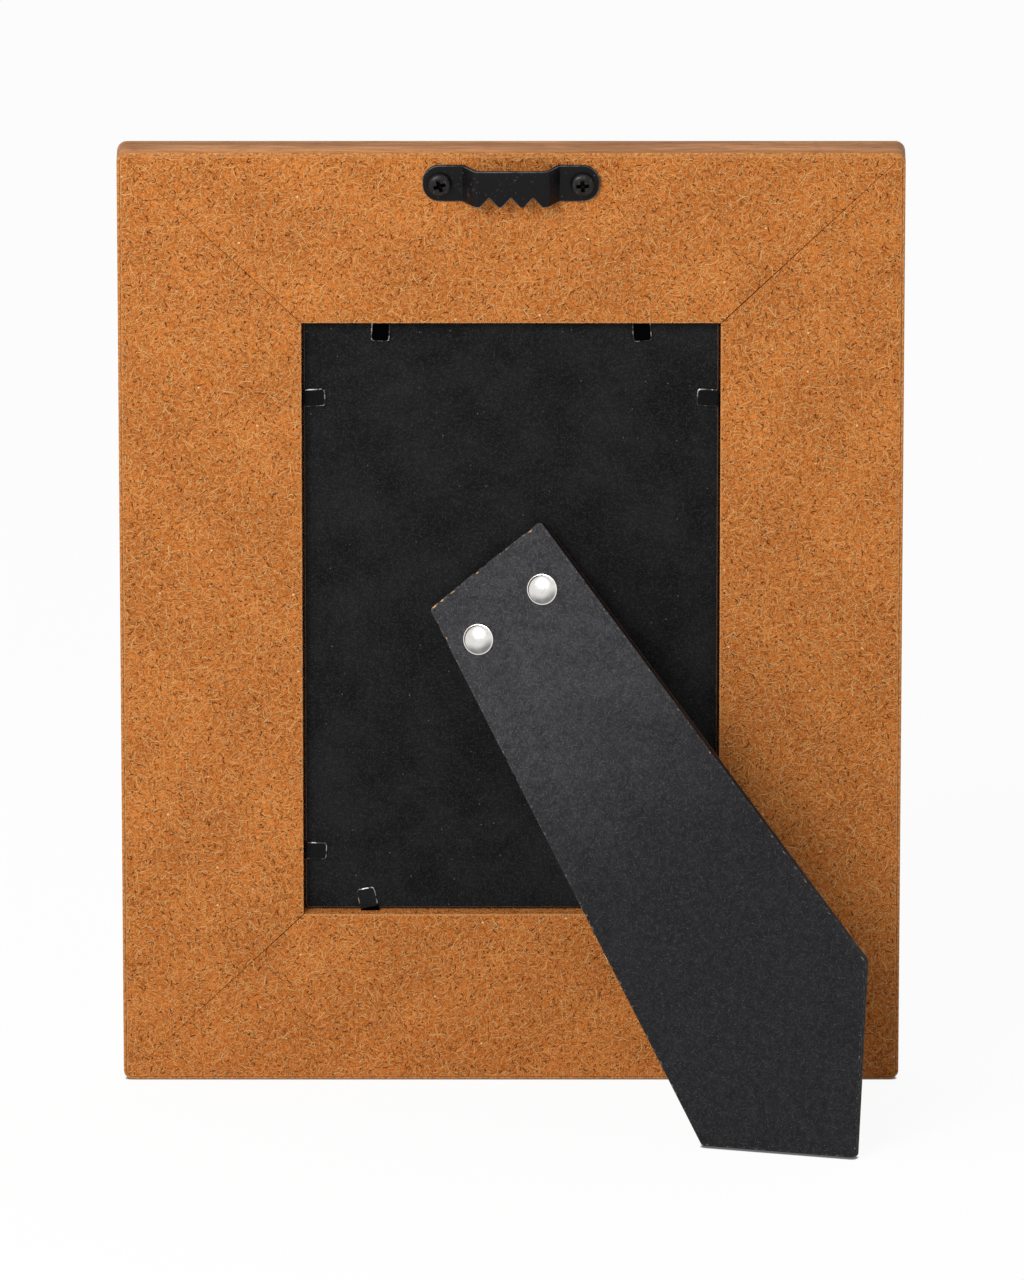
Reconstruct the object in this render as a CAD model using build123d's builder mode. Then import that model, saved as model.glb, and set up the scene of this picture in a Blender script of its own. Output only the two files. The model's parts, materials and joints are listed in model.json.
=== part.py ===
from build123d import *
from math import asin, cos, radians, sin, tan
import os

os.makedirs("parts", exist_ok=True)

# Easel back photo frame, standing upright on its bottom back edge and its leg.
# Millimetres and degrees. The floor is Z = 0, the picture faces -Y and the leg stands out on +Y.

# Frame
opening_w = 103.0  # rebate, across
opening_h = 159.0  # rebate, up
rail_w = 45.0  # rebate wall to outer side
frame_t = 11.0  # back to front
lip_w = 5.0  # front lip past the rebate wall
veneer_t = 0.7
edge_round = 3.5  # front outer edge
sight_round = 0.6  # front edge round the picture
corner_round = 1.8  # outer corners, seen from behind
lean = 9.0  # frame from upright

# Sheets held in the rebate
glass_t = 2.0
insert_t = 0.3
backing_t = 2.5
backing_sink = 3.0  # backing below the back of the rails
sheet_gap = 0.5  # sheets to rebate wall
backing_corner = 1.2

# Points that hold the backing
point_w = 4.6
point_t = 0.5
point_reach = 5.7  # past the rebate wall
point_bury = 7.0  # into the rail
point_nose = 2.2  # tapered end of the buried shank
point_lift = 0.05  # tip above the backing
point_fit = 0.02  # shank in its slot
bend_room = 0.35  # rounded root of the tip to the rebate wall
bend_gap = 0.15  # shank end to the rounded root of the tip
tip_round = 0.4
top_point_inset = 19.6  # rebate corner to point
bottom_point_inset = 16.5
upper_point_inset = 21.0
lower_point_inset = 16.3

# Sawtooth hanger and its screws
hanger_l = 43.3
hanger_h = 9.4
hanger_t = 0.9
hanger_end_round = 4.2
hanger_drop = 7.6  # middle of the hanger below the frame's top
plate_l = 10.15  # flat end under each screw
bridge_run = 3.1  # sloping part at each end of the raised middle
bridge_gap = 4.2  # under the raised middle
bend_round = 1.4  # inside the bends that turn away from the frame
notch_margin = 0.3  # outer notch to the end of the raised middle
tooth_flat = 0.8  # between two notches
notch_depth = 2.6
notch_count = 3
screw_inset = 4.15  # hanger end to screw
screw_head_r = 2.8
screw_head_h = 1.9
screw_head_round = 1.1
screw_r = 1.3
screw_l = 9.0
screw_point = 2.2
screw_fit = 0.05  # shank in its pilot hole
hanger_hole_gap = 0.3
recess_w = 0.8
recess_l = 3.2
recess_depth = 1.0

# Hinge under the top of the leg
hinge_u = -1.8  # pin centre from the frame's middle
hinge_v = 130.5  # pin centre up the frame's back
hinge_turn = 40.5  # pin from level
hinge_l = 30.0
sheet_t = 0.6
pin_r = 0.9
pin_clear = 0.05
pin_height = 2.0  # pin above the backing
pin_head_r = 1.35
pin_head_t = 0.5
knuckle_gap = 0.3  # along the pin
middle_knuckle_l = 15.4
base_l = 15.0  # base leaf below the pin
leaf_l = 13.0  # moving leaf below the pin
leaf_neck = 2.3  # moving leaf clear of the base knuckles
knuckle_foot = 0.7  # leaf edge past the pin on the barrel's far side
leaf_rise = 1.85  # leg's inner face from the pin

# Leg
open_angle = 25.0
leg_t = 3.0
leg_top_left = 15.8  # top corners along the pin
leg_top_right = 20.2
leg_foot_left = 41.0  # foot corner along the pin
leg_side_right = 20.6  # right corner along the pin
leg_corner_round = 1.0
stop_clear = 0.03  # leg's top edge off the backing when open

# Rivets
rivet_spacing = 20.7
rivet_drop = 5.0  # leg rivets below the pin
rivet_r = 1.5
rivet_head_r = 3.9
rivet_head_h = 1.3
rivet_rim = 0.3
rivet_tail_r = 2.4
rivet_tail_h = 0.8
rivet_fit = 0.05
base_rivet_drop = 10.5
base_rivet_head_r = 2.5
base_rivet_head_h = 0.9
base_rivet_recess = 0.9  # sunk on the inner face of the backing
base_rivet_recess_gap = 0.4

# Worked out from the driving dimensions
frame_w = opening_w + 2 * rail_w
frame_h = opening_h + 2 * rail_w
mid_v = frame_h / 2
core_bevel = edge_round / 2  # core under the rounded front edge
rebate_depth = backing_sink + backing_t + insert_t + glass_t
rail_full_w = rail_w + lip_w
screw_spacing = hanger_l - 2 * screw_inset
bridge_l = hanger_l - 2 * (plate_l + bridge_run)
notch_pitch = (bridge_l - 2 * notch_margin) / notch_count
notch_w = notch_pitch - tooth_flat
bore_r = pin_r + pin_clear
knuckle_r = bore_r + sheet_t
pin_n = pin_height - backing_sink
lean_sin = sin(radians(lean))
lean_cos = cos(radians(lean))
lean_tan = tan(radians(lean))
open_sin = sin(radians(open_angle))
open_cos = cos(radians(open_angle))
turn_sin = sin(radians(hinge_turn))
turn_cos = cos(radians(hinge_turn))

# The leg reaches above the pin until its top edge meets the backing at the open angle.
leg_top = (leaf_rise * open_cos + pin_height - stop_clear) / open_sin
foot_n = pin_n + leaf_rise * open_cos


def upright_foot(along):
    """Length from the pin to the floor line when the frame stands upright."""
    rise = hinge_v + along * turn_sin + leaf_rise * open_sin * turn_cos - foot_n * lean_tan
    return rise / (open_cos * turn_cos + open_sin * lean_tan)


def sideways_foot(along):
    """Length from the pin to the floor line when the frame stands on its right side."""
    reach = frame_w / 2 - hinge_u - along * turn_cos + leaf_rise * open_sin * turn_sin - foot_n * lean_tan
    return reach / (open_cos * turn_sin + open_sin * lean_tan)


foot_slope = upright_foot(1) - upright_foot(0)
side_slope = sideways_foot(1) - sideways_foot(0)
heel_along = (sideways_foot(0) - upright_foot(0)) / (foot_slope - side_slope)
heel_down = upright_foot(heel_along)

# Depth of the standing object, so that the origin lies under the middle of its box
heel_n = pin_n + heel_down * open_sin + (leaf_rise + leg_t) * open_cos
heel_v = heel_n * lean_tan + leg_t * (open_sin * turn_cos - open_cos * lean_tan)
depth_back = heel_v * lean_sin + heel_n * lean_cos
depth_front = edge_round * lean_sin - (frame_t - edge_round) * lean_cos - edge_round

# Back of the frame: X across to the right as seen from behind, Y up the frame, Z out of the back
back = Plane(
    origin=(0, -(depth_back + depth_front) / 2, 0),
    x_dir=(-1, 0, 0),
    z_dir=(0, lean_cos, -lean_sin),
)


def at(u, v, n):
    return back.from_local_coords(Vector(u, v, n))


def toward(u, v):
    return back.x_dir * u + back.y_dir * v


def back_plane(u, v, n, x_dir):
    return Plane(origin=at(u, v, n), x_dir=x_dir, z_dir=back.z_dir)


def save(piece, name):
    piece.part.label = name
    export_step(piece.part, f"parts/{name}.step")


def dome(radius, height):
    """Point half way along the arc of a domed head."""
    ball = (radius**2 + height**2) / (2 * height)
    half = asin(radius / ball) / 2
    return (ball * sin(half), height - ball + ball * cos(half))


# Each side of the frame: inward direction (u, v), outer side from the middle, length, rebate wall from the middle
sides = {
    "top": ((0, -1), frame_h / 2, frame_w, opening_h / 2),
    "bottom": ((0, 1), frame_h / 2, frame_w, opening_h / 2),
    "left": ((1, 0), frame_w / 2, frame_h, opening_w / 2),
    "right": ((-1, 0), frame_w / 2, frame_h, opening_w / 2),
}

# Each point: its side, place along that side from the middle, and how far it was driven askew
points = {
    "top_left": ("top", -opening_w / 2 + top_point_inset, -3.0),
    "top_right": ("top", opening_w / 2 - top_point_inset, 4.0),
    "left_upper": ("left", opening_h / 2 - upper_point_inset, 3.0),
    "left_lower": ("left", -opening_h / 2 + lower_point_inset, -2.0),
    "right_upper": ("right", opening_h / 2 - upper_point_inset, -3.0),
    "right_lower": ("right", -opening_h / 2 + lower_point_inset, 2.0),
    "bottom_left": ("bottom", -opening_w / 2 + bottom_point_inset, 12.0),
    "bottom_right": ("bottom", opening_w / 2 - bottom_point_inset, -5.0),
}
point_n = point_lift + point_t / 2 - backing_sink


def point_plane(name):
    """Plane of a point at the rebate wall: X out of the wall, Z out of the back."""
    side, place, askew = points[name]
    (u, v), _, _, wall = sides[side]
    turned = toward(
        u * cos(radians(askew)) - v * sin(radians(askew)),
        u * sin(radians(askew)) + v * cos(radians(askew)),
    )
    return back_plane(-u * wall + abs(v) * place, mid_v - v * wall + abs(u) * place, point_n, turned)


def bend_line(name):
    """Bend from the rebate wall, further out on a point that was driven askew."""
    askew = radians(abs(points[name][2]))
    return (bend_room + point_t / 2) / cos(askew) + point_w / 2 * tan(askew)


def shank_points(name, fit):
    """Buried shank seen from behind, grown by a fit."""
    mouth = bend_line(name) - point_t / 2 - bend_gap
    half = point_w / 2 + fit
    nose = point_w / 4 + fit
    end = -point_bury - fit
    shoulder = point_nose - point_bury
    return [(mouth, half), (shoulder, half), (end, nose), (end, -nose), (shoulder, -half), (mouth, -half)]


def rail_plane(side):
    """Cross-section at the middle of a rail: X inward from the outer side, Y out of the back."""
    (u, v), outer, _, _ = sides[side]
    inward = toward(u, v)
    return Plane(
        origin=at(-u * outer, mid_v - v * outer, 0), x_dir=inward, z_dir=inward.cross(back.z_dir)
    )


def mitre_planes(side):
    """Planes through the two outer corners, facing away from the rail."""
    (u, v), outer, length, _ = sides[side]
    planes = []
    for end in (-1, 1):
        corner = at(-u * outer + end * abs(v) * length / 2, mid_v - v * outer + end * abs(u) * length / 2, 0)
        planes.append(Plane(origin=corner, x_dir=back.z_dir, z_dir=toward(u + end * abs(v), v + end * abs(u))))
    return planes


# MDF rails and the veneer wrapped round them
for side, (_, _, length, _) in sides.items():
    core_front = veneer_t - frame_t
    with BuildPart() as rail:
        with BuildSketch(rail_plane(side)):
            with BuildLine():
                Polyline(
                    (veneer_t, 0),
                    (rail_w, 0),
                    (rail_w, -rebate_depth),
                    (rail_full_w - veneer_t, -rebate_depth),
                    (rail_full_w - veneer_t, core_front),
                    (veneer_t + core_bevel, core_front),
                    (veneer_t, core_front + core_bevel),
                    close=True,
                )
            make_face()
        extrude(amount=length / 2, both=True)
        for mitre in mitre_planes(side):
            split(bisect_by=mitre, keep=Keep.BOTTOM)
        with BuildSketch(back):
            with Locations((0, mid_v)):
                RectangleRounded(frame_w - 2 * veneer_t, frame_h - 2 * veneer_t, corner_round - veneer_t)
        extrude(amount=-frame_t, mode=Mode.INTERSECT)
        for name in [name for name, (where, _, _) in points.items() if where == side]:
            with BuildSketch(point_plane(name)):
                with BuildLine():
                    Polyline(*shank_points(name, point_fit), close=True)
                make_face()
            extrude(amount=point_t / 2 + point_fit, both=True, mode=Mode.SUBTRACT)
        if side == "top":
            with BuildSketch(back):
                with Locations((0, frame_h - hanger_drop)):
                    with GridLocations(screw_spacing, 0, 2, 1):
                        Circle(screw_r + screw_fit)
            extrude(amount=-screw_l, mode=Mode.SUBTRACT)
    save(rail, f"{side}_rail")

    with BuildPart() as veneer:
        with BuildSketch(rail_plane(side)) as section:
            with BuildLine():
                Polyline(
                    (0, 0),
                    (veneer_t, 0),
                    (veneer_t, core_front + core_bevel),
                    (veneer_t + core_bevel, core_front),
                    (rail_full_w - veneer_t, core_front),
                    (rail_full_w - veneer_t, -rebate_depth),
                    (rail_full_w, -rebate_depth),
                    (rail_full_w, -frame_t),
                    (0, -frame_t),
                    close=True,
                )
            make_face()
            front = section.vertices().group_by(Axis.Y)[0].sort_by(Axis.X)
            fillet(front[0], edge_round)
            fillet(front[-1], sight_round)
        extrude(amount=length / 2, both=True)
        for mitre in mitre_planes(side):
            split(bisect_by=mitre, keep=Keep.BOTTOM)
        with BuildSketch(back):
            with Locations((0, mid_v)):
                RectangleRounded(frame_w, frame_h, corner_round)
        extrude(amount=-frame_t, mode=Mode.INTERSECT)
    save(veneer, f"{side}_veneer")

# Hinge frame: X along the pin, Y up away from the leg, Z out of the back, centred on the pin
pin_dir = toward(turn_cos, turn_sin)
hinge = back_plane(hinge_u, hinge_v, pin_n, pin_dir)
swung = Plane(
    origin=hinge.origin, x_dir=pin_dir, z_dir=hinge.z_dir * open_cos + hinge.y_dir * open_sin
)
inner_face = leaf_rise
outer_face = leaf_rise + leg_t


def across(plane):
    """Plane square to the pin: X down the leaf, Y away from the frame."""
    return Plane(origin=plane.origin, x_dir=-plane.y_dir, z_dir=-plane.x_dir)


# Glass, insert and backing, stacked in the rebate
base_rivet_places = [(-rivet_spacing / 2, -base_rivet_drop), (rivet_spacing / 2, -base_rivet_drop)]
leg_rivet_places = [(-rivet_spacing / 2, -rivet_drop), (rivet_spacing / 2, -rivet_drop)]
sheet_floor = -rebate_depth
for name, thickness in (("glass", glass_t), ("insert", insert_t), ("backing_board", backing_t)):
    with BuildPart() as sheet:
        with BuildSketch(back.offset(sheet_floor)):
            with Locations((0, mid_v)):
                sheet_corners = Rectangle(opening_w - 2 * sheet_gap, opening_h - 2 * sheet_gap).vertices()
            if name == "backing_board":
                fillet(sheet_corners, backing_corner)
        extrude(amount=thickness)
        if name == "backing_board":
            with BuildSketch(hinge.offset(-pin_height)):
                with Locations(*base_rivet_places):
                    Circle(rivet_r + rivet_fit)
            extrude(amount=-backing_t, mode=Mode.SUBTRACT)
            with BuildSketch(hinge.offset(-pin_height - backing_t)):
                with Locations(*base_rivet_places):
                    Circle(rivet_tail_r + base_rivet_recess_gap)
            extrude(amount=base_rivet_recess, mode=Mode.SUBTRACT)
    save(sheet, name)
    sheet_floor += thickness

# Points: a shank buried in the rail, and a tip that turns about the bend line
for name in points:
    with BuildPart() as shank:
        with BuildSketch(point_plane(name)):
            with BuildLine():
                Polyline(*shank_points(name, 0), close=True)
            make_face()
        extrude(amount=point_t / 2, both=True)
    save(shank, f"{name}_point_shank")

    flat = point_plane(name)
    bend = bend_line(name)
    with BuildPart() as tip:
        with BuildSketch(Plane(origin=flat.origin, x_dir=flat.x_dir, z_dir=-flat.y_dir)):
            with BuildLine():
                CenterArc((bend, 0), point_t / 2, 90, 180)
                Polyline(
                    (bend, -point_t / 2),
                    (point_reach, -point_t / 2),
                    (point_reach, point_t / 2),
                    (bend, point_t / 2),
                )
            make_face()
        extrude(amount=point_w / 2, both=True)
        ends = tip.edges().filter_by(lambda edge: edge.length < point_t * 1.01)
        corners = ends.filter_by(Axis(flat.origin, flat.z_dir)).sort_by(Axis(flat.origin, flat.x_dir))
        fillet(corners[-2:], tip_round)
    save(tip, f"{name}_point_tip")

# Sawtooth hanger: a strip bent up into a bridge, with notches in the bridge's lower edge
hanger_mid = back_plane(0, frame_h - hanger_drop, 0, back.x_dir)
bridge_end = bridge_l / 2 + bridge_run
with BuildPart() as hanger:
    with BuildSketch(Plane(origin=hanger_mid.origin, x_dir=hanger_mid.x_dir, z_dir=-hanger_mid.y_dir)):
        with BuildLine():
            FilletPolyline(
                (-hanger_l / 2, 0),
                (-bridge_end, 0),
                (-bridge_l / 2, bridge_gap),
                (bridge_l / 2, bridge_gap),
                (bridge_end, 0),
                (hanger_l / 2, 0),
                radius=bend_round,
            )
            offset(amount=hanger_t, side=Side.LEFT)
        make_face()
    extrude(amount=hanger_h / 2, both=True)
    with BuildSketch(hanger_mid):
        RectangleRounded(hanger_l, hanger_h, hanger_end_round)
    extrude(amount=bridge_gap + 2 * hanger_t, mode=Mode.INTERSECT)
    with BuildSketch(hanger_mid):
        for number in range(notch_count):
            middle = (number - (notch_count - 1) / 2) * notch_pitch
            with BuildLine():
                Polyline(
                    (middle - notch_w / 2, -hanger_h / 2),
                    (middle + notch_w / 2, -hanger_h / 2),
                    (middle, notch_depth - hanger_h / 2),
                    close=True,
                )
            make_face()
        with GridLocations(screw_spacing, 0, 2, 1):
            Circle(screw_r + hanger_hole_gap)
    extrude(amount=bridge_gap + 2 * hanger_t, mode=Mode.SUBTRACT)
save(hanger, "sawtooth_hanger")

# Pan-head screws through the hanger into the top rail, each left at its own turn
for name, place, turn in (("left", -1, 20), ("right", 1, 62)):
    seat = back_plane(place * screw_spacing / 2, frame_h - hanger_drop, hanger_t, back.x_dir)
    with BuildPart() as screw:
        with BuildSketch(Plane(origin=seat.origin, x_dir=seat.x_dir, z_dir=-seat.y_dir)):
            with BuildLine():
                Polyline(
                    (0, screw_head_h),
                    (0, -screw_l),
                    (screw_r, screw_point - screw_l),
                    (screw_r, 0),
                    (screw_head_r, 0),
                    (screw_head_r, screw_head_h - screw_head_round),
                )
                RadiusArc(
                    (screw_head_r, screw_head_h - screw_head_round),
                    (screw_head_r - screw_head_round, screw_head_h),
                    -screw_head_round,
                )
                Line((screw_head_r - screw_head_round, screw_head_h), (0, screw_head_h))
            make_face()
        revolve(axis=Axis(seat.origin, seat.z_dir))
        with BuildSketch(seat.offset(screw_head_h)):
            Rectangle(recess_l, recess_w, rotation=turn)
            Rectangle(recess_w, recess_l, rotation=turn)
        extrude(amount=-recess_depth, mode=Mode.SUBTRACT)
    save(screw, f"{name}_hanger_screw")

# Hinge base leaf on the backing, with a knuckle at each end of the pin
end_knuckle_l = (hinge_l - middle_knuckle_l) / 2 - knuckle_gap
end_knuckle_mid = (hinge_l - end_knuckle_l) / 2
with BuildPart() as base:
    with BuildSketch(hinge.offset(-pin_height)):
        with Locations((0, knuckle_foot)):
            Rectangle(hinge_l, base_l + knuckle_foot, align=(Align.CENTER, Align.MAX))
            Rectangle(
                middle_knuckle_l + 2 * knuckle_gap,
                leaf_neck + knuckle_foot,
                align=(Align.CENTER, Align.MAX),
                mode=Mode.SUBTRACT,
            )
        with Locations(*base_rivet_places):
            Circle(rivet_r + rivet_fit, mode=Mode.SUBTRACT)
    extrude(amount=sheet_t)
    for place in (-end_knuckle_mid, end_knuckle_mid):
        with BuildSketch(across(hinge).offset(place)):
            Circle(knuckle_r)
            Rectangle(2 * knuckle_foot, pin_height, align=(Align.CENTER, Align.MAX))
        extrude(amount=end_knuckle_l / 2, both=True)
    with BuildSketch(across(hinge)):
        Circle(bore_r)
    extrude(amount=hinge_l, both=True, mode=Mode.SUBTRACT)
save(base, "hinge_base_leaf")

# Moving leaf on the inner face of the leg, with the middle knuckle
with BuildPart() as leaf:
    with BuildSketch(swung.offset(inner_face - sheet_t)):
        with Locations((0, -leaf_neck)):
            Rectangle(hinge_l, leaf_l - leaf_neck, align=(Align.CENTER, Align.MAX))
        with Locations((0, knuckle_foot)):
            Rectangle(middle_knuckle_l, leaf_neck + knuckle_foot, align=(Align.CENTER, Align.MAX))
        with Locations(*leg_rivet_places):
            Circle(rivet_r + rivet_fit, mode=Mode.SUBTRACT)
    extrude(amount=sheet_t)
    with BuildSketch(across(swung)):
        Circle(knuckle_r)
        Rectangle(2 * knuckle_foot, inner_face, align=(Align.CENTER, Align.MIN))
    extrude(amount=middle_knuckle_l / 2, both=True)
    with BuildSketch(across(swung)):
        Circle(bore_r)
    extrude(amount=hinge_l, both=True, mode=Mode.SUBTRACT)
save(leaf, "hinge_leg_leaf")

# Pin through the knuckles, peened at both ends
with BuildPart() as pin:
    with BuildSketch(across(hinge)):
        Circle(pin_r)
    extrude(amount=hinge_l / 2 + knuckle_gap + pin_head_t, both=True)
    for place in (-1, 1):
        with BuildSketch(across(hinge).offset(place * (hinge_l / 2 + knuckle_gap))):
            Circle(pin_head_r)
        extrude(amount=place * pin_head_t)
save(pin, "hinge_pin")

# Leg: five-sided, cut square, standing on the inner edge of its foot
with BuildPart() as leg:
    with BuildSketch(swung.offset(inner_face)) as outline:
        with BuildLine():
            Polyline(
                (-leg_top_left, leg_top),
                (leg_top_right, leg_top),
                (leg_side_right, -sideways_foot(leg_side_right)),
                (heel_along, -heel_down),
                (-leg_foot_left, -upright_foot(-leg_foot_left)),
                close=True,
            )
        make_face()
        fillet(outline.vertices(), leg_corner_round)
        with Locations(*leg_rivet_places):
            Circle(rivet_r + rivet_fit, mode=Mode.SUBTRACT)
    extrude(amount=leg_t)
save(leg, "easel_leg")


def rivet(seat, grip, head_r, head_h, rim, tail_r, tail_h):
    """Domed rivet: the seat's Z is out of the head, the tail is spread past the grip."""
    with BuildPart() as made:
        with BuildSketch(Plane(origin=seat.origin, x_dir=seat.x_dir, z_dir=-seat.y_dir)):
            crown = dome(head_r, head_h - rim)
            with BuildLine():
                ThreePointArc((0, head_h), (crown[0], crown[1] + rim), (head_r, rim))
                Polyline(
                    (head_r, rim),
                    (head_r, 0),
                    (rivet_r, 0),
                    (rivet_r, -grip),
                    (tail_r, -grip),
                    (tail_r, -grip - tail_h),
                    (0, -grip - tail_h),
                    (0, head_h),
                )
            make_face()
        revolve(axis=Axis(seat.origin, seat.z_dir))
    return made


for name, leg_place, base_place in zip(("left", "right"), leg_rivet_places, base_rivet_places):
    leg_seat = Plane(swung.offset(outer_face).from_local_coords(Vector(*leg_place, 0)), swung.x_dir, swung.z_dir)
    leg_rivet = rivet(
        leg_seat, leg_t + sheet_t, rivet_head_r, rivet_head_h, rivet_rim, rivet_tail_r, rivet_tail_h
    )
    save(leg_rivet, f"{name}_leg_rivet")
    base_top = hinge.offset(sheet_t - pin_height)
    base_seat = Plane(base_top.from_local_coords(Vector(*base_place, 0)), hinge.x_dir, hinge.z_dir)
    base_grip = sheet_t + backing_t - base_rivet_recess
    base_rivet = rivet(
        base_seat, base_grip, base_rivet_head_r, base_rivet_head_h, rivet_rim, rivet_tail_r, rivet_tail_h
    )
    save(base_rivet, f"{name}_base_rivet")

print("back corner", back.origin, "right", back.x_dir, "up", back.y_dir, "out", back.z_dir)
print("pin centre", hinge.origin, "pin direction", hinge.x_dir, "leg reaches above the pin", round(leg_top, 2))
for name in points:
    flat = point_plane(name)
    print(name, "bend", flat.origin + flat.x_dir * bend_line(name), "axis", flat.y_dir)
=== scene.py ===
import json
import math

import bmesh
import bpy
from mathutils import Matrix, Vector, geometry, noise


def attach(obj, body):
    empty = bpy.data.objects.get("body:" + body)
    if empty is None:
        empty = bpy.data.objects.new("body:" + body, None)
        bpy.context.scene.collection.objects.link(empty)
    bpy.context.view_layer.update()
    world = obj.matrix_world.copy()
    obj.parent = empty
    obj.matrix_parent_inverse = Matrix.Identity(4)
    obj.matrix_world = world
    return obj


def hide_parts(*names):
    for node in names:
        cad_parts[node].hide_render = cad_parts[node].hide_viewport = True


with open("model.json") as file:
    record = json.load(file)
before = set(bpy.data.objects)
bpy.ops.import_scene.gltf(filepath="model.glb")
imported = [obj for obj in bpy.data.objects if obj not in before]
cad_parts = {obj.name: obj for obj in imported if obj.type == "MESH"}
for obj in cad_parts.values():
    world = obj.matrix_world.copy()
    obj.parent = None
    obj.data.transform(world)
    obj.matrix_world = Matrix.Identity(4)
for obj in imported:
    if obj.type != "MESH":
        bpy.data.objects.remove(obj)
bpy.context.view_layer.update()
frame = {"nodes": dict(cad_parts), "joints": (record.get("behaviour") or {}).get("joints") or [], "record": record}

scene = bpy.context.scene
mm = 0.001
joints = {joint["name"]: joint for joint in frame["joints"]}

# The frame lies on its own plane: u to the right seen from behind, v up the back, n out of the back
frameSize = {
    "openingW": 103.0,
    "openingH": 159.0,
    "railW": 45.0,
    "thick": 11.0,
    "lip": 5.0,
    "veneer": 0.7,
    "cornerRound": 2.4,
    "wallMark": 75.0,  # the wall face's mark, left of the middle
    "legOpen": 25.0,
}
frameW = frameSize["openingW"] + 2 * frameSize["railW"]
frameH = frameSize["openingH"] + 2 * frameSize["railW"]


def placed(xDir, yDir, zDir, origin):
    # millimetres on the named directions, to metres in the scene
    turn = Matrix((xDir, yDir, zDir)).transposed().to_4x4()
    turn.translation = origin
    return turn @ Matrix.Scale(mm, 4)


wallFace = next(mount for mount in frame["record"]["mounts"] if mount["name"] == "wall_face")
outDir = Vector(wallFace["axis"]).normalized()
rightDir = Vector((-1, 0, 0))
upDir = outDir.cross(rightDir)
backOrigin = Vector(wallFace["pos_m"]) + (rightDir * frameSize["wallMark"] - upDir * frameH / 2) * mm
backPlace = placed(rightDir, upDir, outDir, backOrigin)

pinDir = -Vector(joints["leg_hinge"]["axis"]).normalized()
pinPlace = Vector(joints["leg_hinge"]["pos_m"])
hingeUp = outDir.cross(pinDir)
legOpen = math.radians(frameSize["legOpen"])
legOut = outDir * math.cos(legOpen) + hingeUp * math.sin(legOpen)
legPlace = placed(pinDir, legOut.cross(pinDir), legOut, pinPlace)
hingePlace = placed(pinDir, hingeUp, outDir, pinPlace)
print("frame", frameW, "by", frameH, "mm")


# Node helpers, for finishes and for built shapes alike
bench = {}  # holds the tree that new nodes go to


class Value:
    # a node's output that takes plain arithmetic, one Math node for each sign
    def __init__(self, socket):
        self.socket = socket

    def __add__(self, other):
        return calc("ADD", self, other)

    def __sub__(self, other):
        return calc("SUBTRACT", self, other)

    def __rsub__(self, other):
        return calc("SUBTRACT", other, self)

    def __mul__(self, other):
        return calc("MULTIPLY", self, other)

    def __truediv__(self, other):
        return calc("DIVIDE", self, other)

    def __rtruediv__(self, other):
        return calc("DIVIDE", other, self)

    def __pow__(self, other):
        return calc("POWER", self, other)

    def __lt__(self, other):
        return calc("LESS_THAN", self, other)

    def __gt__(self, other):
        return calc("GREATER_THAN", self, other)

    def __neg__(self):
        return calc("MULTIPLY", self, -1.0)

    def __abs__(self):
        return calc("ABSOLUTE", self)


def connect(value, socket):
    if isinstance(value, Value):
        bench["tree"].links.new(value.socket, socket)
    else:
        socket.default_value = value


def add(kind, inputs=None, **settings):
    made = bench["tree"].nodes.new(kind)
    for key, value in settings.items():
        setattr(made, key, value)
    for key, value in (inputs or {}).items():
        connect(value, made.inputs[key])
    return made


def node(kind, inputs=None, output=0, **settings):
    return Value(add(kind, inputs, **settings).outputs[output])


def calc(operation, *values):
    return node("ShaderNodeMath", dict(enumerate(values)), operation=operation)


def topmost(*values):
    best = values[0]
    for value in values[1:]:
        best = calc("MAXIMUM", best, value)
    return best


def fade(value, start, end, low=0.0, high=1.0):
    inputs = {0: value, 1: start, 2: end, 3: low, 4: high}
    return node("ShaderNodeMapRange", inputs, interpolation_type="SMOOTHSTEP")


def chosen(flag, without, withIt):
    return node("ShaderNodeMix", {0: flag, 2: without, 3: withIt})


def mixed(amount, *colours):
    first, second = [colour if isinstance(colour, Value) else (*colour, 1.0) for colour in colours]
    return node("ShaderNodeMix", {0: amount, 6: first, 7: second}, 2, data_type="RGBA")


def painted(want, colour, *coats):
    # each coat: how much of it shows, and its colour or the colour's name
    for amount, coat in coats:
        colour = mixed(amount, colour, want[coat] if isinstance(coat, str) else coat)
    return colour


def vector(x=0.0, y=0.0, z=0.0):
    return node("ShaderNodeCombineXYZ", {0: x, 1: y, 2: z})


def split(value, kind="ShaderNodeSeparateXYZ"):
    return [Value(part) for part in add(kind, {0: value}).outputs]


def onVectors(operation, first, second):
    return node("ShaderNodeVectorMath", {0: first, 1: second}, operation=operation)


def stretched(value, x, y, z=1.0):
    return onVectors("MULTIPLY", value, (x, y, z))


def scaled(value, size):
    return node("ShaderNodeVectorMath", {0: value, 3: size}, operation="SCALE")


def cloud(spot, scale, detail=2.0, rough=0.5, warp=0.0):
    inputs = {"Vector": spot, "Scale": scale, "Detail": detail, "Roughness": rough, "Distortion": warp}
    return node("ShaderNodeTexNoise", inputs)


def blotches(*values):
    return fade(cloud(*values), 0.3, 0.7)


def onSurface():
    return node("ShaderNodeUVMap", uv_map="grain")


def onObject():
    return node("ShaderNodeTexCoord", output="Object")


def marked(name):
    return node("ShaderNodeAttribute", output="Fac", attribute_name=name)


def newFinish(name):
    finish = bpy.data.materials.new(name)
    finish.use_nodes = True
    bench["tree"] = finish.node_tree
    return finish


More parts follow.
